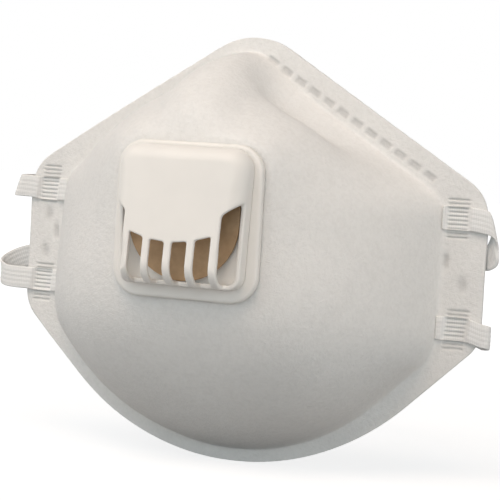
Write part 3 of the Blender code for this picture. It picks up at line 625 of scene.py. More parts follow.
class DUSTMASK_OT_nose_pad(bpy.types.Operator):
    """Soft strip inside the nose: a pillow that bulges by powers of the distances from its middle"""
    bl_idname = "dust_mask.nose_pad"
    bl_label = "Nose pad"

    def execute(self, context):
        settings = context.scene.dust_mask
        cup = settings.cup
        angles = 0.5 * math.pi + NOSE_PAD_SPAN * np.linspace(-1.0, 1.0, NOSE_PAD_STATIONS)
        others = np.linspace(angles[-1], angles[0] + 2 * math.pi, OTHER_STATIONS)[1:-1]
        surface = cup_surface(cup, np.concatenate([angles, others]))
        plies = cup.outer_ply + cup.filter_ply + cup.inner_ply + 2 * cup.ply_gap
        seat = (surface + inward(surface) * (plies + NOSE_PAD_GAP))[:, :NOSE_PAD_STATIONS]
        rows = PAD_ROWS + DOME_ROWS * np.array(NOSE_PAD_TURN) / (0.5 * math.pi)
        wanted = np.linspace(*rows, NOSE_PAD_POINTS)
        lower = wanted.astype(int)
        part = (wanted - lower)[:, None, None]
        seat = seat[lower] * (1 - part) + seat[lower + 1] * part
        towards = np.array([0.0, 0.0, VALVE_HEIGHT]) - seat
        towards[..., 1] = 0.0
        towards /= np.linalg.norm(towards, axis=-1, keepdims=True)
        lift = (towards + np.array([0.0, 1.0, 0.0])) / math.sqrt(2.0)
        beside = np.linspace(-1.0, 1.0, NOSE_PAD_POINTS)[:, None]
        along = np.linspace(-1.0, 1.0, NOSE_PAD_STATIONS)[None, :]
        swell = (1 - np.abs(beside) ** 3.5) ** 0.6 * (1 - np.abs(along) ** 14) ** 0.5
        swell *= 1 + NOSE_PAD_WAVE_HEIGHT * np.cos(2 * math.pi * NOSE_PAD_WAVES * along)
        swell = NOSE_PAD_EDGE + (1 - NOSE_PAD_EDGE) * swell
        top = seat + lift * (cup.pad_thickness * swell)[..., None]
        profile = np.concatenate([top, seat[::-1]]).transpose(1, 0, 2)
        piece = make_piece("nose_pad", profile, band_quads(NOSE_PAD_STATIONS, NOSE_PAD_POINTS),
                           foam_finish("foam", settings.finish.foam), ["nose_foam"])
        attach(piece, "mask_body")
        return {"FINISHED"}


# Valve

PLATE_BACK, PLATE_TOP = 0.0003, 0.0025
SPIGOT_WALL, SPOKE_WIDTH, SPOKE_THICKNESS = 0.0023, 0.0016, 0.0014
LIP_HEIGHT, POST_HOLE, TAB_WIDTH = 0.0008, 0.0012, 0.0130
POST_RADIUS, POST_SPACING, POST_HEIGHT, POST_SETBACK = 0.0008, 0.0080, 0.0024, 0.0017
PLATE_ROUND, END_ROUND, PLATE_FILLET = 0.0003, 0.0004, 0.0002
HOOD_TAPER, SLOT_TOP, SLOT_ARCH, BAR_SHIFT = 0.0008, 0.0053, 0.0029, -0.0005
CORNER_TOP, CORNER_SLOPE = 0.0022, 0.74
FRAME_LIFT, FRAME_INSET = 0.0015, 0.0013    # how far it lies inside the solid's lower edge and sides
SLOT_CORNER, SOFT_EDGE, HOOD_EDGE = 0.0007, 0.0004, 0.0002
BEND_FADE = 0.0020, 0.0090   # distances below the middle over which the edge takes on the bars' bend
FLAP_OVERLAP, FLAP_TOP, FLAP_SHOULDER = 0.0005, 0.0095, 0.0030
TAB_CORNER, TAB_FILLET, FLAP_EDGE = 0.0006, 0.0010, 0.00018
RING_GAP, RING_EDGE, RING_ARC, RING_STEPS = 0.0003, 0.0005, 7, 160
HINGE_UP = HINGES["flap_hinge"][2] - VALVE_HEIGHT
SPIGOT_END = PAD_FRONT - PLATE_HIGH[1]

# Surface nets: sizes of a cell, cells of air below and above a piece, steps onto the surface, and the
# longest step and the probe for the slope in cells, with the least slope squared that counts
PLATE_CELL, HOOD_CELL, FLAP_CELL = 0.00034, 0.0003, (0.0003, 0.0003, 0.00012)
AIR_BELOW, AIR_ABOVE = 2.3, 2.6
NEWTON_STEPS, LONGEST_STEP, PROBE, LEAST_SLOPE = 4, 0.6, 0.02, 0.2


def valve_to_mask(points):
    """Points of the valve's frame, (across, up, out), in the mask's frame."""
    return np.stack([points[..., 0], PAD_FRONT - points[..., 2], VALVE_HEIGHT + points[..., 1]], axis=-1)


def meet_round(radius, *fields):
    """Common part of solids, with the edges where they meet rounded.

    Each field is a distance, negative inside. Outside a core moved in by the radius the result is
    the length of the vector of distances to the core, less the radius.
    """
    moved = [field + radius for field in fields]
    past = np.sqrt(sum(np.maximum(field, 0.0) ** 2 for field in moved))
    return past + np.minimum(np.maximum.reduce(np.broadcast_arrays(*moved)), 0.0) - radius


def join_round(radius, *fields):
    """Union of solids, with the hollow where they meet filled to a radius."""
    return -meet_round(radius, *(-field for field in fields))


def rounded_square(across, up, half_width, half_height, radius):
    """Distance to a rectangle with round corners."""
    return meet_round(radius, np.abs(across) - half_width, np.abs(up) - half_height)


def surface_net(field, low, high, cell):
    """Closed surface where a field of (across, up, out) is zero.

    The field is sampled on a lattice. Each cube that the surface crosses gets one point, at the mean
    of the crossings on its edges, and each crossed lattice edge gets a quad through the points of its
    four cubes. Newton steps along the field's slope then put the points on the surface.
    """
    cell = np.broadcast_to(np.array(cell, float), 3)
    low = np.array(low, float) - AIR_BELOW * cell
    axes = [np.arange(start, end + AIR_ABOVE * step, step) for start, end, step in zip(low, high, cell)]
    values = field(*np.meshgrid(*axes, indexing="ij"))
    size = values.shape
    cubes = tuple(count - 1 for count in size)
    total, hits = np.zeros((3, *cubes)), np.zeros(cubes)
    crossings = []
    for axis in range(3):
        first = np.take(values, np.arange(size[axis] - 1), axis)
        second = np.take(values, np.arange(1, size[axis]), axis)
        crossed = (first < 0) != (second < 0)
        spots = np.indices(crossed.shape, float)
        spots[axis] += np.where(crossed, first / np.where(crossed, first - second, 1.0), 0.0)
        spots *= crossed
        one, two = (axis + 1) % 3, (axis + 2) % 3
        for before_one in (0, 1):
            for before_two in (0, 1):
                chosen = [slice(None)] * 3
                chosen[one] = slice(before_one, size[one] - 1 + before_one)
                chosen[two] = slice(before_two, size[two] - 1 + before_two)
                total += spots[(slice(None), *chosen)]
                hits += crossed[tuple(chosen)]
        places = np.argwhere(crossed)
        crossings.append((one, two, places, first[tuple(places.T)] < 0))
    index = np.full(cubes, -1)
    index[hits > 0] = np.arange((hits > 0).sum())
    points = low + (total[:, hits > 0] / hits[hits > 0]).T * cell
    quads = []
    for one, two, places, inside in crossings:
        corners = []
        for before_one, before_two in ((1, 1), (0, 1), (0, 0), (1, 0)):
            cube = places.copy()
            cube[:, one] -= before_one
            cube[:, two] -= before_two
            corners.append(index[tuple(cube.T)])
        faces = np.column_stack(corners)
        quads.append(np.where(inside[:, None], faces, faces[:, ::-1]))
    longest = LONGEST_STEP * cell.min()
    nudges = np.eye(3) * PROBE * cell.min()
    for _ in range(NEWTON_STEPS):
        slope = np.stack([field(*(points + nudge).T) - field(*(points - nudge).T) for nudge in nudges], -1)
        slope /= 2 * nudges[0, 0]
        steep = np.maximum((slope ** 2).sum(-1), LEAST_SLOPE)
        step = -(field(*points.T) / steep)[:, None] * slope
        size_of_step = np.linalg.norm(step, axis=1, keepdims=True)
        points = points + step * np.minimum(1.0, longest / np.maximum(size_of_step, 1e-12))
    return points, np.vstack(quads)


def hood_span():
    """Lower and upper edge of the hood, and its foot on the plate."""
    return (HOOD_LOW[2] - VALVE_HEIGHT + FRAME_LIFT, HOOD_HIGH[2] - VALVE_HEIGHT,
            PAD_FRONT - HOOD_HIGH[1])


def hood_front(valve, across, up):
    """Height of the hood's front: a slope from the brow to the bars, crowned across as a parabola."""
    low, high, base = hood_span()
    rise = valve.brow_rise + (valve.front_rise - valve.brow_rise) * (high - up) / (high - low)
    return base + rise - valve.crown * (across / HOOD_HIGH[0]) ** 2


def hood_block(valve, across, up, out, shrink):
    """Distance to the hood's block: leaning walls and the crowned front, with a rounded edge.

    The side walls come closer towards the bottom, and below the bars the edge has the bars' bend.
    """
    low, high, base = hood_span()
    lean = HOOD_TAPER * np.clip((out - base) / valve.front_rise, 0.0, 1.0)
    side = np.abs(across) + FRAME_INSET * (high - up) / (high - low)
    corner = np.where(up > 0, valve.hood_corner, valve.frame_corner)
    walls = rounded_square(side, up - (low + high) / 2, HOOD_HIGH[0], (high - low) / 2, corner)
    edge = valve.hood_round + (valve.bar_bend - valve.hood_round) * smooth_step(-up, *BEND_FADE)
    front = out - hood_front(valve, across, up)
    return meet_round(edge - shrink, walls + lean + shrink, front + shrink)


def hood_field(valve):
    """Hood: the block less a smaller one, less the slots between the bars and the corner openings.

    The openings stop at the front of the low frame, so the frame runs on round the foot of the bars.
    """
    base = hood_span()[2]
    outer = (valve.bars - 1) / 2 * valve.bar_pitch + valve.bar_width / 2

    def field(across, up, out):
        hood = meet_round(HOOD_EDGE, hood_block(valve, across, up, out, 0.0), base - out,
                          -hood_block(valve, across, up, out, valve.hood_wall))
        along = across - BAR_SHIFT
        nearest = np.clip(np.round(along / valve.bar_pitch + 0.5 * valve.bars), 1, valve.bars - 1)
        middle = (nearest - 0.5 * valve.bars) * valve.bar_pitch
        gap = np.abs(along - middle) - (valve.bar_pitch - valve.bar_width) / 2
        slots = meet_round(SLOT_CORNER, gap, up + SLOT_TOP - SLOT_ARCH * (along / outer) ** 2)
        top = (up - CORNER_TOP - CORNER_SLOPE * (np.abs(along) - outer)) / math.hypot(1.0, CORNER_SLOPE)
        corners = meet_round(SLOT_CORNER, outer - np.abs(along), top)
        openings = meet_round(SLOT_CORNER, np.minimum(slots, corners), base + valve.frame_rise - out)
        return meet_round(SOFT_EDGE, hood, -openings)

    return field


def from_posts(across, up):
    """Distance from the axis of the nearer of the two posts that hold the flap."""
    return np.hypot(np.abs(across) - POST_SPACING / 2, up - HINGE_UP + POST_SETBACK)


def plate_field(valve):
    """Plate with its port, cross spokes, sealing lip, two posts and the spigot through the cup."""
    half = PLATE_HIGH[0]
    spigot = valve.port_radius + SPIGOT_WALL

    def field(across, up, out):
        radius = np.hypot(across, up)
        plan = rounded_square(across, up, half, half, valve.plate_corner)
        plate = np.maximum(meet_round(valve.plate_edge, plan, out - PLATE_TOP), PLATE_BACK - out)
        tube = meet_round(END_ROUND, radius - spigot, SPIGOT_END - out, out - PLATE_TOP + MM)
        lip = meet_round(PLATE_ROUND, radius - valve.port_radius - valve.lip_width,
                         out - PLATE_TOP - LIP_HEIGHT, PLATE_BACK - out)
        body = join_round(PLATE_ROUND, np.minimum(plate, tube), lip)
        body = meet_round(PLATE_ROUND, body, valve.port_radius - radius)
        spoke = np.minimum(np.abs(across), np.abs(up)) - SPOKE_WIDTH / 2
        spokes = meet_round(PLATE_ROUND, spoke, out - PLATE_TOP, PLATE_TOP - SPOKE_THICKNESS - out,
                            radius - valve.port_radius - valve.lip_width / 2)
        posts = meet_round(END_ROUND, from_posts(across, up) - POST_RADIUS, out - PLATE_TOP - POST_HEIGHT,
                           PLATE_BACK + MM - out)
        return join_round(PLATE_FILLET, body, spokes, posts)

    return field


def flap_field(radius):
    """Flap: a sheet, round below and square above, with a tab up to the hinge and two holes for posts."""
    back, front = PAD_FRONT - FLAP_HIGH[1], PAD_FRONT - FLAP_LOW[1]

    def field(across, up, out):
        disc = meet_round(FLAP_SHOULDER, np.hypot(across, np.minimum(up, 0.0)) - radius, up - FLAP_TOP)
        tab = meet_round(TAB_CORNER, np.abs(across) - TAB_WIDTH / 2, up - HINGE_UP, -up)
        plan = np.maximum(join_round(TAB_FILLET, disc, tab), POST_HOLE - from_posts(across, up))
        return meet_round(FLAP_EDGE, plan, out - front, back - out)

    return field


def valve_piece(name, shape, material, node):
    """A piece of the valve from the points and faces of a shape in the valve's frame."""
    points, quads = shape
    return make_piece(name, valve_to_mask(points), quads, material, [node])


class DUSTMASK_OT_valve_plate(bpy.types.Operator):
    """Square plate of the valve with its port, lip, spokes, posts and spigot"""
    bl_idname = "dust_mask.valve_plate"
    bl_label = "Valve plate"

    def execute(self, context):
        settings = context.scene.dust_mask
        half = PLATE_HIGH[0]
        net = surface_net(plate_field(settings.valve), (-half, -half, SPIGOT_END),
                          (half, half, PLATE_TOP + POST_HEIGHT), PLATE_CELL)
        plastic = plastic_finish("seat_plastic", settings.finish.plastic)
        piece = valve_piece("valve_plate", net, plastic, "valve_seat")
        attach(piece, "mask_body")
        return {"FINISHED"}


class DUSTMASK_OT_valve_flap(bpy.types.Operator):
    """Rubber flap that hangs from two posts and covers the port"""
    bl_idname = "dust_mask.valve_flap"
    bl_label = "Valve flap"

    def execute(self, context):
        finish = context.scene.dust_mask.finish
        radius = VALVE_HEIGHT - FLAP_LOW[2] + FLAP_OVERLAP
        back, front = PAD_FRONT - FLAP_HIGH[1], PAD_FRONT - FLAP_LOW[1]
        net = surface_net(flap_field(radius), (-radius, -radius, back), (radius, HINGE_UP, front), FLAP_CELL)
        rubber = rubber_finish("flap_rubber", finish.rubber, finish.rubber_shade)
        piece = valve_piece("valve_rubber", net, rubber, "valve_flap")
        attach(piece, "valve_flap")
        return {"FINISHED"}


class DUSTMASK_OT_valve_hood(bpy.types.Operator):
    """Hood over the flap, with bars over its lower front and an opening at each lower corner"""
    bl_idname = "dust_mask.valve_hood"
    bl_label = "Valve hood"

    def execute(self, context):
        settings = context.scene.dust_mask
        low = (HOOD_LOW[0], HOOD_LOW[2] - VALVE_HEIGHT, PAD_FRONT - HOOD_HIGH[1])
        high = (HOOD_HIGH[0], HOOD_HIGH[2] - VALVE_HEIGHT, PAD_FRONT - HOOD_LOW[1] + MM)
        net = surface_net(hood_field(settings.valve), low, high, HOOD_CELL)
        plastic = plastic_finish("cover_plastic", settings.finish.plastic)
        piece = valve_piece("valve_hood", net, plastic, "valve_cover")
        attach(piece, "mask_body")
        return {"FINISHED"}


class DUSTMASK_OT_valve_ring(bpy.types.Operator):
    """Ring on the spigot that holds the webs against the plate: a round-edged profile turned once"""
    bl_idname = "dust_mask.valve_ring"
    bl_label = "Valve ring"

    def execute(self, context):
        settings = context.scene.dust_mask
        inner, outer = settings.valve.port_radius + SPIGOT_WALL + RING_GAP, RING_HIGH[0]
        back, front = PAD_FRONT - RING_HIGH[1], PAD_FRONT - RING_LOW[1]
        inner, outer, back, front = inner + RING_EDGE, outer - RING_EDGE, back + RING_EDGE, front - RING_EDGE
        centres = np.array([(outer, front), (inner, front), (inner, back), (outer, back)])
        turn = 0.5 * math.pi * (np.arange(4)[:, None] + np.linspace(0.0, 1.0, RING_ARC))
        arcs = centres[:, None] + RING_EDGE * np.stack([np.cos(turn), np.sin(turn)], axis=-1)
        profile = arcs.reshape(-1, 2)
        angles = 2 * math.pi * np.arange(RING_STEPS) / RING_STEPS
        radius, out = profile[:, 0][:, None], profile[:, 1][:, None]
        points = np.stack([radius * np.cos(angles), radius * np.sin(angles), out + 0 * angles], axis=-1)
        ring = points, grid_quads(*points.shape[:2], close_rows=True, close_columns=True)
        plastic = plastic_finish("ring_plastic", settings.finish.plastic)
        piece = valve_piece("valve_lock_ring", ring, plastic, "valve_retaining_ring")
        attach(piece, "mask_body")
        return {"FINISHED"}


# Straps

STRAP_START, STRAP_GAP, TURN_DEPTH, SPLIT_INSET, LOOP_BLUNTNESS = 0.0562, 0.0003, 0.0095, 0.0040, 1.2
RUN_POINTS, TURN_POINTS, LOOP_POINTS = 40, 59, 400    # of half a strap's line
LINE_POINTS, LINE_ROUNDS = 1600, 18                   # of a whole line, and its rounds of smoothing
LEAD_RAMP = -0.0050, 0.0035  # distances past the wing's edge over which the lead comes in
SETTLE_LENGTH = 0.022        # way back over which a loop comes to the level of its hinge
STRAP_STATIONS, STRAP_POINTS = 640, 56
EDGE_CROWDING, EDGE_POWER, EDGE_SHARE = 1.25, 10, 0.25    # points, rounding and thickness at the edges
UPRIGHT_FADE = 0.12, 0.40    # shares of the turn's depth
WELD_SINK, WELD_SKIN = 0.00062, 0.00022
WELD_BEGIN, WELD_END, BAR_FADE = (-0.0009, 0.0), (-0.0003, 0.0012), (0.0, 0.0004)
UV_SCALE = 100.0             # the UV map is in units of 10 mm
# Turns by strap and side: overhang beyond the wing; rise of the back run over the front one, how late
# it comes, and lead, the part of it before the wing's edge; depth, the part of the way back to the loop
# at the end of the turn, and flatness, how late it comes; level, the weld above the hinge; slant, the
# fold's slope
TURNS = {"upper": {1: dict(overhang=0.0026, rise=-0.0105, late=1.2, lead=0.10, depth=0.30, flatness=1.0,
                           level=-0.0014, slant=0.3),
                   -1: dict(overhang=0.0050, rise=0.0006, late=1.0, lead=1.0, depth=1.0, flatness=3.0,
                            level=-0.0012, slant=0.33)},
         "lower": {1: dict(overhang=0.0028, rise=-0.0022, late=1.0, lead=1.0, depth=0.3, flatness=2.0,
                           level=-0.0020, slant=0.0),
                   -1: dict(overhang=0.0108, rise=0.0065, late=2.0, lead=0.0, depth=1.0, flatness=1.0,
                            level=0.0014, slant=0.0)}}


def wing_edge(cup, side):
    """Distance from the middle of the mask to the edge of a wing."""
    return cup.half_width - (cup.right_trim if side > 0 else 0.0)


def half_strap(cup, strap, axis, droop, side, turn):
    """Half of a strap's middle line on one side, from its welded end to the middle of its loop.

    The end lies on the wing's cubic sweep. The turn goes out by the sine of an angle, and back by
    ((1 - cosine) / 2) ** flatness. The loop runs back by (1 + cos(pi * share ** bluntness)) / 2 of
    its reach. The lead's part of the rise comes before the wing's edge and the rest over the turn, by
    ((1 - cosine) / 2) ** late. The loop comes to the level of its hinge and slopes down by its droop.
    """
    edge, lift = wing_edge(cup, side), STRAP_GAP + strap.thickness / 2
    flange = -PAD_FRONT - cup.depth
    run = np.linspace(STRAP_START, edge, RUN_POINTS)
    on_wing = cup.wing_sweep * (run / edge) ** 3 - flange - lift
    bend = np.linspace(0.0, math.pi, TURN_POINTS + 1)[1:]
    turned = (1 - np.cos(bend)) / 2
    round_edge = edge + (turn["overhang"] - strap.thickness / 2) * np.sin(bend)
    depth = on_wing[-1] + (axis[1] - on_wing[-1]) * turn["depth"] * turned ** turn["flatness"]
    half = cup.half_width - SPLIT_INSET - STRAP_GAP
    share = np.linspace(1.0, 0.0, LOOP_POINTS)
    back = strap.reach * (1 + np.cos(math.pi * share ** LOOP_BLUNTNESS)) / 2
    settle = 1 - smooth_step(back, 0.0, SETTLE_LENGTH)
    lead = turn["lead"] * smooth_step(run - edge, *LEAD_RAMP)
    risen = np.concatenate([lead, lead[-1] + (1 - lead[-1]) * turned ** turn["late"], settle])
    welded = np.concatenate([np.ones(RUN_POINTS + TURN_POINTS), settle])
    height = risen * turn["rise"] + welded * turn["level"]
    height[-LOOP_POINTS:] -= back * math.sin(droop)
    across = np.concatenate([run, round_edge, half * share])
    deep = np.concatenate([on_wing, depth, axis[1] + back * math.cos(droop)])
    return np.column_stack([side * across, deep, axis[2] + height])


def even(line, count):
    """Points at even steps along a line, and the line's length."""
    steps = np.concatenate([[0.0], np.cumsum(np.linalg.norm(np.diff(line, axis=0), axis=1))])
    stations = np.linspace(0.0, steps[-1], count)
    return np.column_stack([np.interp(stations, steps, line[:, axis]) for axis in range(3)]), steps[-1]


class DUSTMASK_OT_straps(bpy.types.Operator):
    """Flat ribbed elastic straps, each one band from weld to weld round the back of the head"""
    bl_idname = "dust_mask.straps"
    bl_label = "Straps"

    def execute(self, context):
        settings = context.scene.dust_mask
        cup, strap = settings.cup, settings.strap
        for place, droop in (("upper", strap.upper_droop), ("lower", strap.lower_droop)):
            axis = HINGES[place + "_strap_swing"]
            right, left = (half_strap(cup, strap, axis, droop, side, TURNS[place][side]) for side in (1, -1))
            line, _ = even(np.vstack([right, left[-2::-1]]), LINE_POINTS)
            line = relax(line[:, None, :], np.full(len(line), 0.5), LINE_ROUNDS)[:, 0]
            line, total = even(line, STRAP_STATIONS)
            points, uv, pressed = self.band(cup, strap, place, line, total)
            elastic = elastic_finish(place + "_elastic", settings.finish.elastic)
            nodes = [place + "_strap_" + part for part in ("left_end", "right_end", "loop")]
            piece = make_piece(place + "_band", points, band_quads(STRAP_STATIONS, STRAP_POINTS), elastic,
                               nodes, uv, pressed)
            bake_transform(piece)
        return {"FINISHED"}

    @staticmethod
    def band(cup, strap, place, line, total):
        """A flat profile with rounded edges and ribs carried along a line, pressed down at the welds.

        The profile's width stands upright on the wing, and behind it square to the line. Over a weld
        patch the front sinks and takes the patch's bars.
        """
        along = np.gradient(line, axis=0)
        along /= np.linalg.norm(along, axis=1, keepdims=True)
        out = np.cross(along, np.array([0.0, 0.0, 1.0]))
        out /= np.linalg.norm(out, axis=1, keepdims=True)
        behind = 1 + (line[:, 1:2] - HINGES[place + "_strap_swing"][1]) / TURN_DEPTH
        on_front = behind < 0.5
        upright = 1 - smooth_step(behind, *UPRIGHT_FADE)
        wide = np.cross(out, along) * (1 - upright) + np.array([0.0, 0.0, 1.0]) * upright
        spread = np.linspace(-1.0, 1.0, STRAP_POINTS)
        spread = np.sign(spread) * (1 - (1 - np.abs(spread)) ** EDGE_CROWDING)
        edge = EDGE_SHARE + (1 - EDGE_SHARE) * np.sqrt(1 - np.abs(spread) ** EDGE_POWER)
        rib = strap.rib_height * np.cos(math.pi * strap.ribs * (spread + 1))
        right, left = BAR_PATCHES[place][1], BAR_PATCHES[place][-1]
        patch, level, lean = np.where(line[:, :1] > 0, right, left).T[..., None]
        up = line[:, 2:] + spread * strap.width / 2
        beside = np.abs(line[:, :1] - lean * (up - level)) - np.abs(patch)
        reach_of_patch = BAR_PATCH_SIZE[0] / 2
        welded = on_front * smooth_step(beside + reach_of_patch, *WELD_BEGIN)
        welded = welded * (1 - smooth_step(beside - reach_of_patch, *WELD_END))
        barred = on_front * smooth_step(reach_of_patch - np.abs(beside), *BAR_FADE)
        bars = barred * bar_wave(up - level)
        half = strap.thickness / 2
        top = (half + rib) * (1 - welded) - welded * (WELD_SINK - WELD_SKIN / 2) - cup.bar_depth * bars
        under = (half - rib) * (1 - welded) + welded * (WELD_SINK + WELD_SKIN / 2) + cup.bar_depth * bars
        front = line[:, None] + wide[:, None] * (spread * strap.width / 2)[:, None]
        for side, turn in TURNS[place].items():
            past = smooth_step(side * line[:, :1] - wing_edge(cup, side), 0.0, turn["overhang"])
            front[..., 0] -= side * turn["slant"] * past * spread * strap.width / 2
        back = front - out[:, None] * (under * edge)[..., None]
        front = front + out[:, None] * (top * edge)[..., None]
        points = np.concatenate([front, back[:, ::-1]], axis=1)
        # Depth share of the weld bars, by which the finish greys the fused elastic and paints shade into the
        # grooves
        pressed = np.concatenate([bars, bars[:, ::-1]], axis=1)
        travel = np.linspace(0.0, total, STRAP_STATIONS)[:, None] + 0 * points[..., 0]
        side = np.concatenate([spread, spread[::-1]]) * strap.width / 2
        uv = np.stack([travel, side + 0 * travel], axis=-1).reshape(-1, 2) * UV_SCALE
        return points, uv, pressed


# Finishes

# Grey of a weld: partly the fused web's own grey, partly painted shade in the pressed-in welds, stamps and
# dents
WELD_GREY_AND_SHADE = (0.80, 0.80, 0.80, 1.0)
FIBRES = (0.3, 330.0, 4200.0), (1.35, 280.0, 3600.0), (2.45, 360.0, 4600.0)    # turn; cycles along, across


def feed(tree, value, socket):
    """Wires an output to a socket, or sets a plain value on it."""
    if isinstance(value, bpy.types.NodeSocket):
        tree.links.new(value, socket)
    else:
        socket.default_value = value


def feed_named(tree, node, values):
    """Feeds a node's inputs by their names, in which underscores stand for spaces."""
    for key, value in values.items():
        feed(tree, value, node.inputs[key.replace("_", " ")])


def add_node(tree, kind, settings=None, **values):
    """A node with its settings and what its inputs are fed."""
    node = tree.nodes.new(kind)
    for key, value in (settings or {}).items():
        setattr(node, key, value)
    feed_named(tree, node, values)
    return node


def new_finish(name, coordinates="Object", **values):
    """A procedural material with plain values on its shader; also its tree, shader and coordinates."""
    material = bpy.data.materials.new("mask_" + name)
    material.use_nodes = True
    tree = material.node_tree
    shader = tree.nodes["Principled BSDF"]
    feed_named(tree, shader, values)
    return material, tree, shader, add_node(tree, "ShaderNodeTexCoord").outputs[coordinates]


def place_noise(tree, coordinates, scale, turn=0.0, detail=3.0, rough=0.55):
    """Noise on coordinates turned about Y; the scale, cycles per unit, is one number or one for each axis."""
    scales = scale if isinstance(scale, tuple) else (scale, scale, scale)
    turned = add_node(tree, "ShaderNodeMapping", Vector=coordinates, Rotation=(0.0, turn, 0.0))
    stretched = add_node(tree, "ShaderNodeMapping", Vector=turned.outputs["Vector"], Scale=scales)
    noise = add_node(tree, "ShaderNodeTexNoise", Vector=stretched.outputs["Vector"], Scale=1.0, Detail=detail,
                     Roughness=rough)
    return noise.outputs["Fac"]


def calculate(tree, operation, *values):
    """Output of a math node whose values are plain numbers or outputs."""
    node = add_node(tree, "ShaderNodeMath", {"operation": operation})
    for value, socket in zip(values, node.inputs):
        feed(tree, value, socket)
    return node.outputs[0]


def ramp(tree, value, low, high):
    """Stretches the part of a value between low and high to the whole of 0 to 1."""
    node = add_node(tree, "ShaderNodeMapRange", {"clamp": True}, Value=value, From_Min=low, From_Max=high)
    return node.outputs["Result"]


def mix_colours(tree, amount, first, second, blend="MIX"):
    """Colour between two that are plain or outputs; a colour node's sockets are the seventh and eighth."""
    mix = add_node(tree, "ShaderNodeMix", {"data_type": "RGBA", "blend_type": blend})
    for value, socket in zip((amount, first, second), (mix.inputs[0], mix.inputs[6], mix.inputs[7])):
        feed(tree, value, socket)
    return mix.outputs[2]


def opaque(tint, share=1.0):
    """A tint times a share, as a colour that covers fully."""
    return (*(share * part for part in tint), 1.0)


def add_bump(tree, shader, height, strength, distance):
    """Tilts a shader's normals by the slopes of a height."""
    bump = add_node(tree, "ShaderNodeBump", Height=height, Strength=strength, Distance=distance)
    tree.links.new(bump.outputs["Normal"], shader.inputs["Normal"])


def grey_welds_and_paint_shade(tree, tint):
    """Colour that is greyer by the depth of welds, stamps and dents: partly the fused web's own grey, partly
    painted shade in these hollows.
    """
    shares = add_node(tree, "ShaderNodeAttribute", {"attribute_name": "pressed"})
    return mix_colours(tree, shares.outputs["Fac"], tint, WELD_GREY_AND_SHADE, "MULTIPLY")


def web_finish(name, bright, shade):
    """Pressed nonwoven: clouds of thicker and thinner web with fine fibres in three directions."""
    material, tree, shader, place = new_finish(name, Roughness=0.92, Specular_IOR_Level=0.2,
                                               Sheen_Weight=0.12, Sheen_Roughness=0.5)
    clouds = place_noise(tree, place, 900.0, rough=0.6)
    broad = place_noise(tree, place, 260.0, detail=2.0)
    layers = [ramp(tree, place_noise(tree, place, (thin, thin * 0.5, long), turn, detail=2.0), 0.52, 0.72)
              for turn, long, thin in FIBRES]
    fibres = calculate(tree, "MAXIMUM", calculate(tree, "MAXIMUM", *layers[:2]), layers[2])
    thick = calculate(tree, "MULTIPLY_ADD", broad, 0.3, calculate(tree, "MULTIPLY", clouds, 0.7))
    tone = calculate(tree, "MULTIPLY_ADD", fibres, 0.25, ramp(tree, thick, 0.36, 0.60))
    # Greyer in welds, stamps and dents: fused web and painted shade in these hollows
    tint = grey_welds_and_paint_shade(tree, mix_colours(tree, tone, opaque(shade), opaque(bright)))
    tree.links.new(tint, shader.inputs["Base Color"])
    add_bump(tree, shader, calculate(tree, "MULTIPLY_ADD", fibres, 0.22, clouds), 0.55, 0.0004)
    return material


def foam_finish(name, tint):
    """Open foam: small round pits over soft unevenness, with shade painted into the colour at the bottoms of
    the pits.
    """
    material, tree, shader, place = new_finish(name, Roughness=0.95, Specular_IOR_Level=0.15)
    cells = add_node(tree, "ShaderNodeTexVoronoi", Vector=place, Scale=1500.0)
    pits = ramp(tree, cells.outputs["Distance"], 0.05, 0.45)
    uneven = place_noise(tree, place, 300.0)
    # Darker at the middle of each cell, where the pits are deepest: painted shade
    pits_with_painted_shade = mix_colours(tree, pits, opaque(tint, 0.72), opaque(tint))
    tree.links.new(pits_with_painted_shade, shader.inputs["Base Color"])
    add_bump(tree, shader, calculate(tree, "ADD", pits, uneven), 0.6, 0.0003)
    return material


def plastic_finish(name, tint):
    """Satin moulded plastic: a fine spark-eroded grain and slow changes of gloss."""
    material, tree, shader, place = new_finish(name, Specular_IOR_Level=0.4)
    grain = place_noise(tree, place, 2600.0, detail=2.0)
    slow = place_noise(tree, place, 90.0, detail=2.0)
    tone = mix_colours(tree, ramp(tree, slow, 0.3, 0.7), opaque(tint, 0.965), opaque(tint))
    tree.links.new(tone, shader.inputs["Base Color"])
    tree.links.new(calculate(tree, "MULTIPLY_ADD", slow, 0.14, 0.40), shader.inputs["Roughness"])
    add_bump(tree, shader, grain, 0.18, 0.00005)
    return material


def rubber_finish(name, tint, shade):
    """Dull tan rubber: soft clouds of colour, a talc-like bloom and a fine skin."""
    material, tree, shader, place = new_finish(name, Specular_IOR_Level=0.35)
    clouds = place_noise(tree, place, 230.0, detail=4.0)
    skin = place_noise(tree, place, 1900.0)
    tone = mix_colours(tree, ramp(tree, clouds, 0.32, 0.62), opaque(shade), opaque(tint))
    tree.links.new(tone, shader.inputs["Base Color"])
    tree.links.new(calculate(tree, "MULTIPLY_ADD", skin, 0.25, 0.42), shader.inputs["Roughness"])
    add_bump(tree, shader, skin, 0.25, 0.00008)
    return material


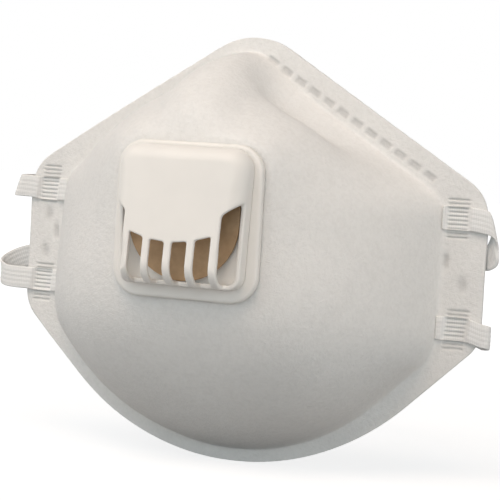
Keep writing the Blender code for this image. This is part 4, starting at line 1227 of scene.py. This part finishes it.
def elastic_finish(name, tint):
    """Knitted elastic: crosswise threads along the UV map's length, cords along it, and loose fibres, with
    shade painted darker where the weave is low.

    The UV map is in units of 10 mm, with the length of the strap first.
    """
    material, tree, shader, uv = new_finish(name, "UV", Roughness=0.85, Specular_IOR_Level=0.25,
                                            Sheen_Weight=0.1)
    threads = add_node(tree, "ShaderNodeTexWave", {"bands_direction": "X"}, Vector=uv, Scale=5.2,
                       Distortion=1.2, Detail=2.0, Detail_Scale=3.0)
    cords = add_node(tree, "ShaderNodeTexWave", {"bands_direction": "Y"}, Vector=uv, Scale=7.4,
                     Distortion=0.3)
    fibres = place_noise(tree, uv, (60.0, 18.0, 1.0))
    weave = calculate(tree, "MULTIPLY_ADD", cords.outputs["Fac"], 0.45,
                      calculate(tree, "MULTIPLY", threads.outputs["Fac"], 0.55))
    height = calculate(tree, "MULTIPLY_ADD", fibres, 0.5, weave)
    # Darker where the weave's height is low: painted shade in the hollows between threads and cords
    weave_with_painted_shade = mix_colours(tree, ramp(tree, height, 0.25, 1.0), opaque(tint, 0.93), opaque(tint))
    # Greyer in the weld bars: fused elastic and painted shade in the grooves
    tree.links.new(grey_welds_and_paint_shade(tree, weave_with_painted_shade), shader.inputs["Base Color"])
    add_bump(tree, shader, height, 0.35, 0.00010)
    return material


# Stage

AIM = np.array([0.001279, 0.0, -0.002248])
FLOOR_SIZE = 6.0
FLOOR_FADE = 0.18, 0.90      # distances between which the floor turns white
FLOOR_WHITE = 1.05           # own brightness of the floor from there on
WORLD_TINT, WHITE = (0.80, 0.92, 1.0, 1.0), (1.0, 1.0, 1.0, 1.0)
SENSOR_WIDTH, CLIP_START = 36.0, 0.01
LIGHT_SIZE = 0.80
# Lights round the mask: place, share of the strength, tint
LIGHTS = {"top": ((0.12, -0.66, 0.98), 0.72, (1.0, 0.79, 0.64)),
          "upper_left": ((-0.55, -0.55, 0.90), 0.50, (1.0, 0.97, 0.95)),
          "left": ((-0.95, -0.65, 0.20), 0.44, (1.0, 1.0, 0.97)),
          "right": ((1.05, -0.35, 0.25), 0.49, (1.0, 1.0, 0.98)),
          "front": ((0.25, -1.15, 0.15), 0.40, (0.80, 0.93, 1.0)),
          "back": ((-0.35, 1.05, 0.60), 0.40, (1.0, 0.98, 0.95))}


def seen_or_lit(tree, seen, lit):
    """One shader for camera, glossy and transmission rays and another for the light on the object."""
    path = add_node(tree, "ShaderNodeLightPath")
    rays = calculate(tree, "MAXIMUM", path.outputs["Is Camera Ray"], path.outputs["Is Glossy Ray"])
    rays = calculate(tree, "MAXIMUM", rays, path.outputs["Is Transmission Ray"])
    mix = add_node(tree, "ShaderNodeMixShader")
    for output, socket in zip((rays, lit.outputs[0], seen.outputs[0]), mix.inputs):
        tree.links.new(output, socket)
    return mix.outputs[0]


def placed(right, up, back, place):
    """Matrix of an object with these axes at a place."""
    turned = np.eye(4)
    turned[:3] = np.column_stack([right, up, back, place])
    return Matrix(turned.tolist())


def area_light(name, place, size, strength, tint):
    """A disc of light that faces the origin."""
    light = bpy.data.lights.new(name, "AREA")
    light.shape, light.size, light.energy, light.color = "DISK", size, strength, tint
    lamp = bpy.data.objects.new(name, light)
    back = np.array(place) / np.linalg.norm(place)
    right = np.cross([0.0, 0.0, 1.0], back)
    right /= np.linalg.norm(right)
    lamp.matrix_world = placed(right, np.cross(back, right), back, place)
    bpy.context.scene.collection.objects.link(lamp)


class DUSTMASK_OT_stage(bpy.types.Operator):
    """Pale floor, soft studio light and the camera"""
    bl_idname = "dust_mask.stage"
    bl_label = "Stage"

    def execute(self, context):
        scene, stage = context.scene, context.scene.dust_mask.stage
        scene.view_settings.view_transform = "Standard"
        self.floor(scene, stage)
        self.world(scene, stage)
        for name, (place, share, tint) in LIGHTS.items():
            area_light(name, place, LIGHT_SIZE, stage.light * share, tint)
        self.camera(scene, stage)
        return {"FINISHED"}

    @staticmethod
    def floor(scene, stage):
        """A matt floor with its own glow, which turns white away from the mask."""
        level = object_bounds()[0][2]
        half = FLOOR_SIZE / 2
        mesh = bpy.data.meshes.new("floor")
        corners = [(-half, -half, level), (half, -half, level), (half, half, level), (-half, half, level)]
        mesh.from_pydata(corners, [], [(0, 1, 2, 3)])
        floor = bpy.data.objects.new("floor", mesh)
        scene.collection.objects.link(floor)
        material, tree, shader, place = new_finish("floor")
        tree.nodes.remove(shader)
        matt = add_node(tree, "ShaderNodeBsdfDiffuse", Color=opaque(scene.dust_mask.finish.floor))
        away = add_node(tree, "ShaderNodeVectorMath", {"operation": "LENGTH"}, Vector=place).outputs["Value"]
        bright = calculate(tree, "MULTIPLY_ADD", ramp(tree, away, *FLOOR_FADE),
                           FLOOR_WHITE - stage.floor_glow, stage.floor_glow)
        glow = add_node(tree, "ShaderNodeEmission", Strength=bright)
        both = add_node(tree, "ShaderNodeAddShader")
        tree.links.new(matt.outputs[0], both.inputs[0])
        tree.links.new(glow.outputs[0], both.inputs[1])
        surface = tree.nodes["Material Output"].inputs["Surface"]
        tree.links.new(seen_or_lit(tree, both, matt), surface)
        mesh.materials.append(material)
        floor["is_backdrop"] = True

    @staticmethod
    def world(scene, stage):
        """Even light from all round, behind which the camera sees white."""
        scene.world = bpy.data.worlds.new("studio")
        scene.world.use_nodes = True
        tree = scene.world.node_tree
        lit = tree.nodes["Background"]
        feed_named(tree, lit, {"Color": WORLD_TINT, "Strength": stage.world})
        seen = add_node(tree, "ShaderNodeBackground", Color=WHITE, Strength=1.0)
        tree.links.new(seen_or_lit(tree, seen, lit), tree.nodes["World Output"].inputs["Surface"])

    @staticmethod
    def camera(scene, stage):
        """Looks at the aim from an azimuth and an elevation, turned about its own axis by the roll."""
        azimuth, elevation, roll = stage.azimuth, stage.elevation, stage.roll
        level = np.array([-math.sin(azimuth), math.cos(azimuth), 0.0])
        forward = level * math.cos(elevation) - np.array([0.0, 0.0, math.sin(elevation)])
        right = np.array([math.cos(azimuth), math.sin(azimuth), 0.0])
        up = np.cross(right, forward)
        data = bpy.data.cameras.new("camera")
        data.sensor_width, data.lens, data.clip_start = SENSOR_WIDTH, stage.lens, CLIP_START
        camera = bpy.data.objects.new("camera", data)
        camera.matrix_world = placed(right * math.cos(roll) - up * math.sin(roll),
                                     up * math.cos(roll) + right * math.sin(roll),
                                     -forward, AIM - forward * stage.distance)
        scene.collection.objects.link(camera)
        scene.camera = camera


class DUSTMASK_PT_build(bpy.types.Panel):
    """Steps and settings of the dust mask"""
    bl_idname = "DUSTMASK_PT_build"
    bl_label = "Dust mask"
    bl_space_type = "VIEW_3D"
    bl_region_type = "UI"
    bl_category = "Dust mask"

    def draw(self, context):
        settings = context.scene.dust_mask
        for step in STEPS:
            self.layout.operator(step.bl_idname)
        for name in settings.__annotations__:
            box = self.layout.box()
            box.label(text=name.capitalize())
            group = getattr(settings, name)
            for entry in group.__annotations__:
                box.prop(group, entry)


STEPS = (DUSTMASK_OT_webs, DUSTMASK_OT_nose_pad, DUSTMASK_OT_valve_plate, DUSTMASK_OT_valve_flap,
         DUSTMASK_OT_valve_hood, DUSTMASK_OT_valve_ring, DUSTMASK_OT_straps, DUSTMASK_OT_stage)
CLASSES = (CupSettings, ValveSettings, StrapSettings, FinishSettings, StageSettings, DustMaskSettings,
           *STEPS, DUSTMASK_PT_build)


def register():
    for item in CLASSES:
        bpy.utils.register_class(item)
    bpy.types.Scene.dust_mask = PointerProperty(type=DustMaskSettings)


def unregister():
    del bpy.types.Scene.dust_mask
    for item in reversed(CLASSES):
        bpy.utils.unregister_class(item)


def main():
    register()
    bpy.ops.dust_mask.webs()
    bpy.ops.dust_mask.nose_pad()
    bpy.ops.dust_mask.valve_plate()
    bpy.ops.dust_mask.valve_flap()
    bpy.ops.dust_mask.valve_hood()
    bpy.ops.dust_mask.valve_ring()
    bpy.ops.dust_mask.straps()
    bpy.ops.dust_mask.stage()


if __name__ == "__main__":
    main()
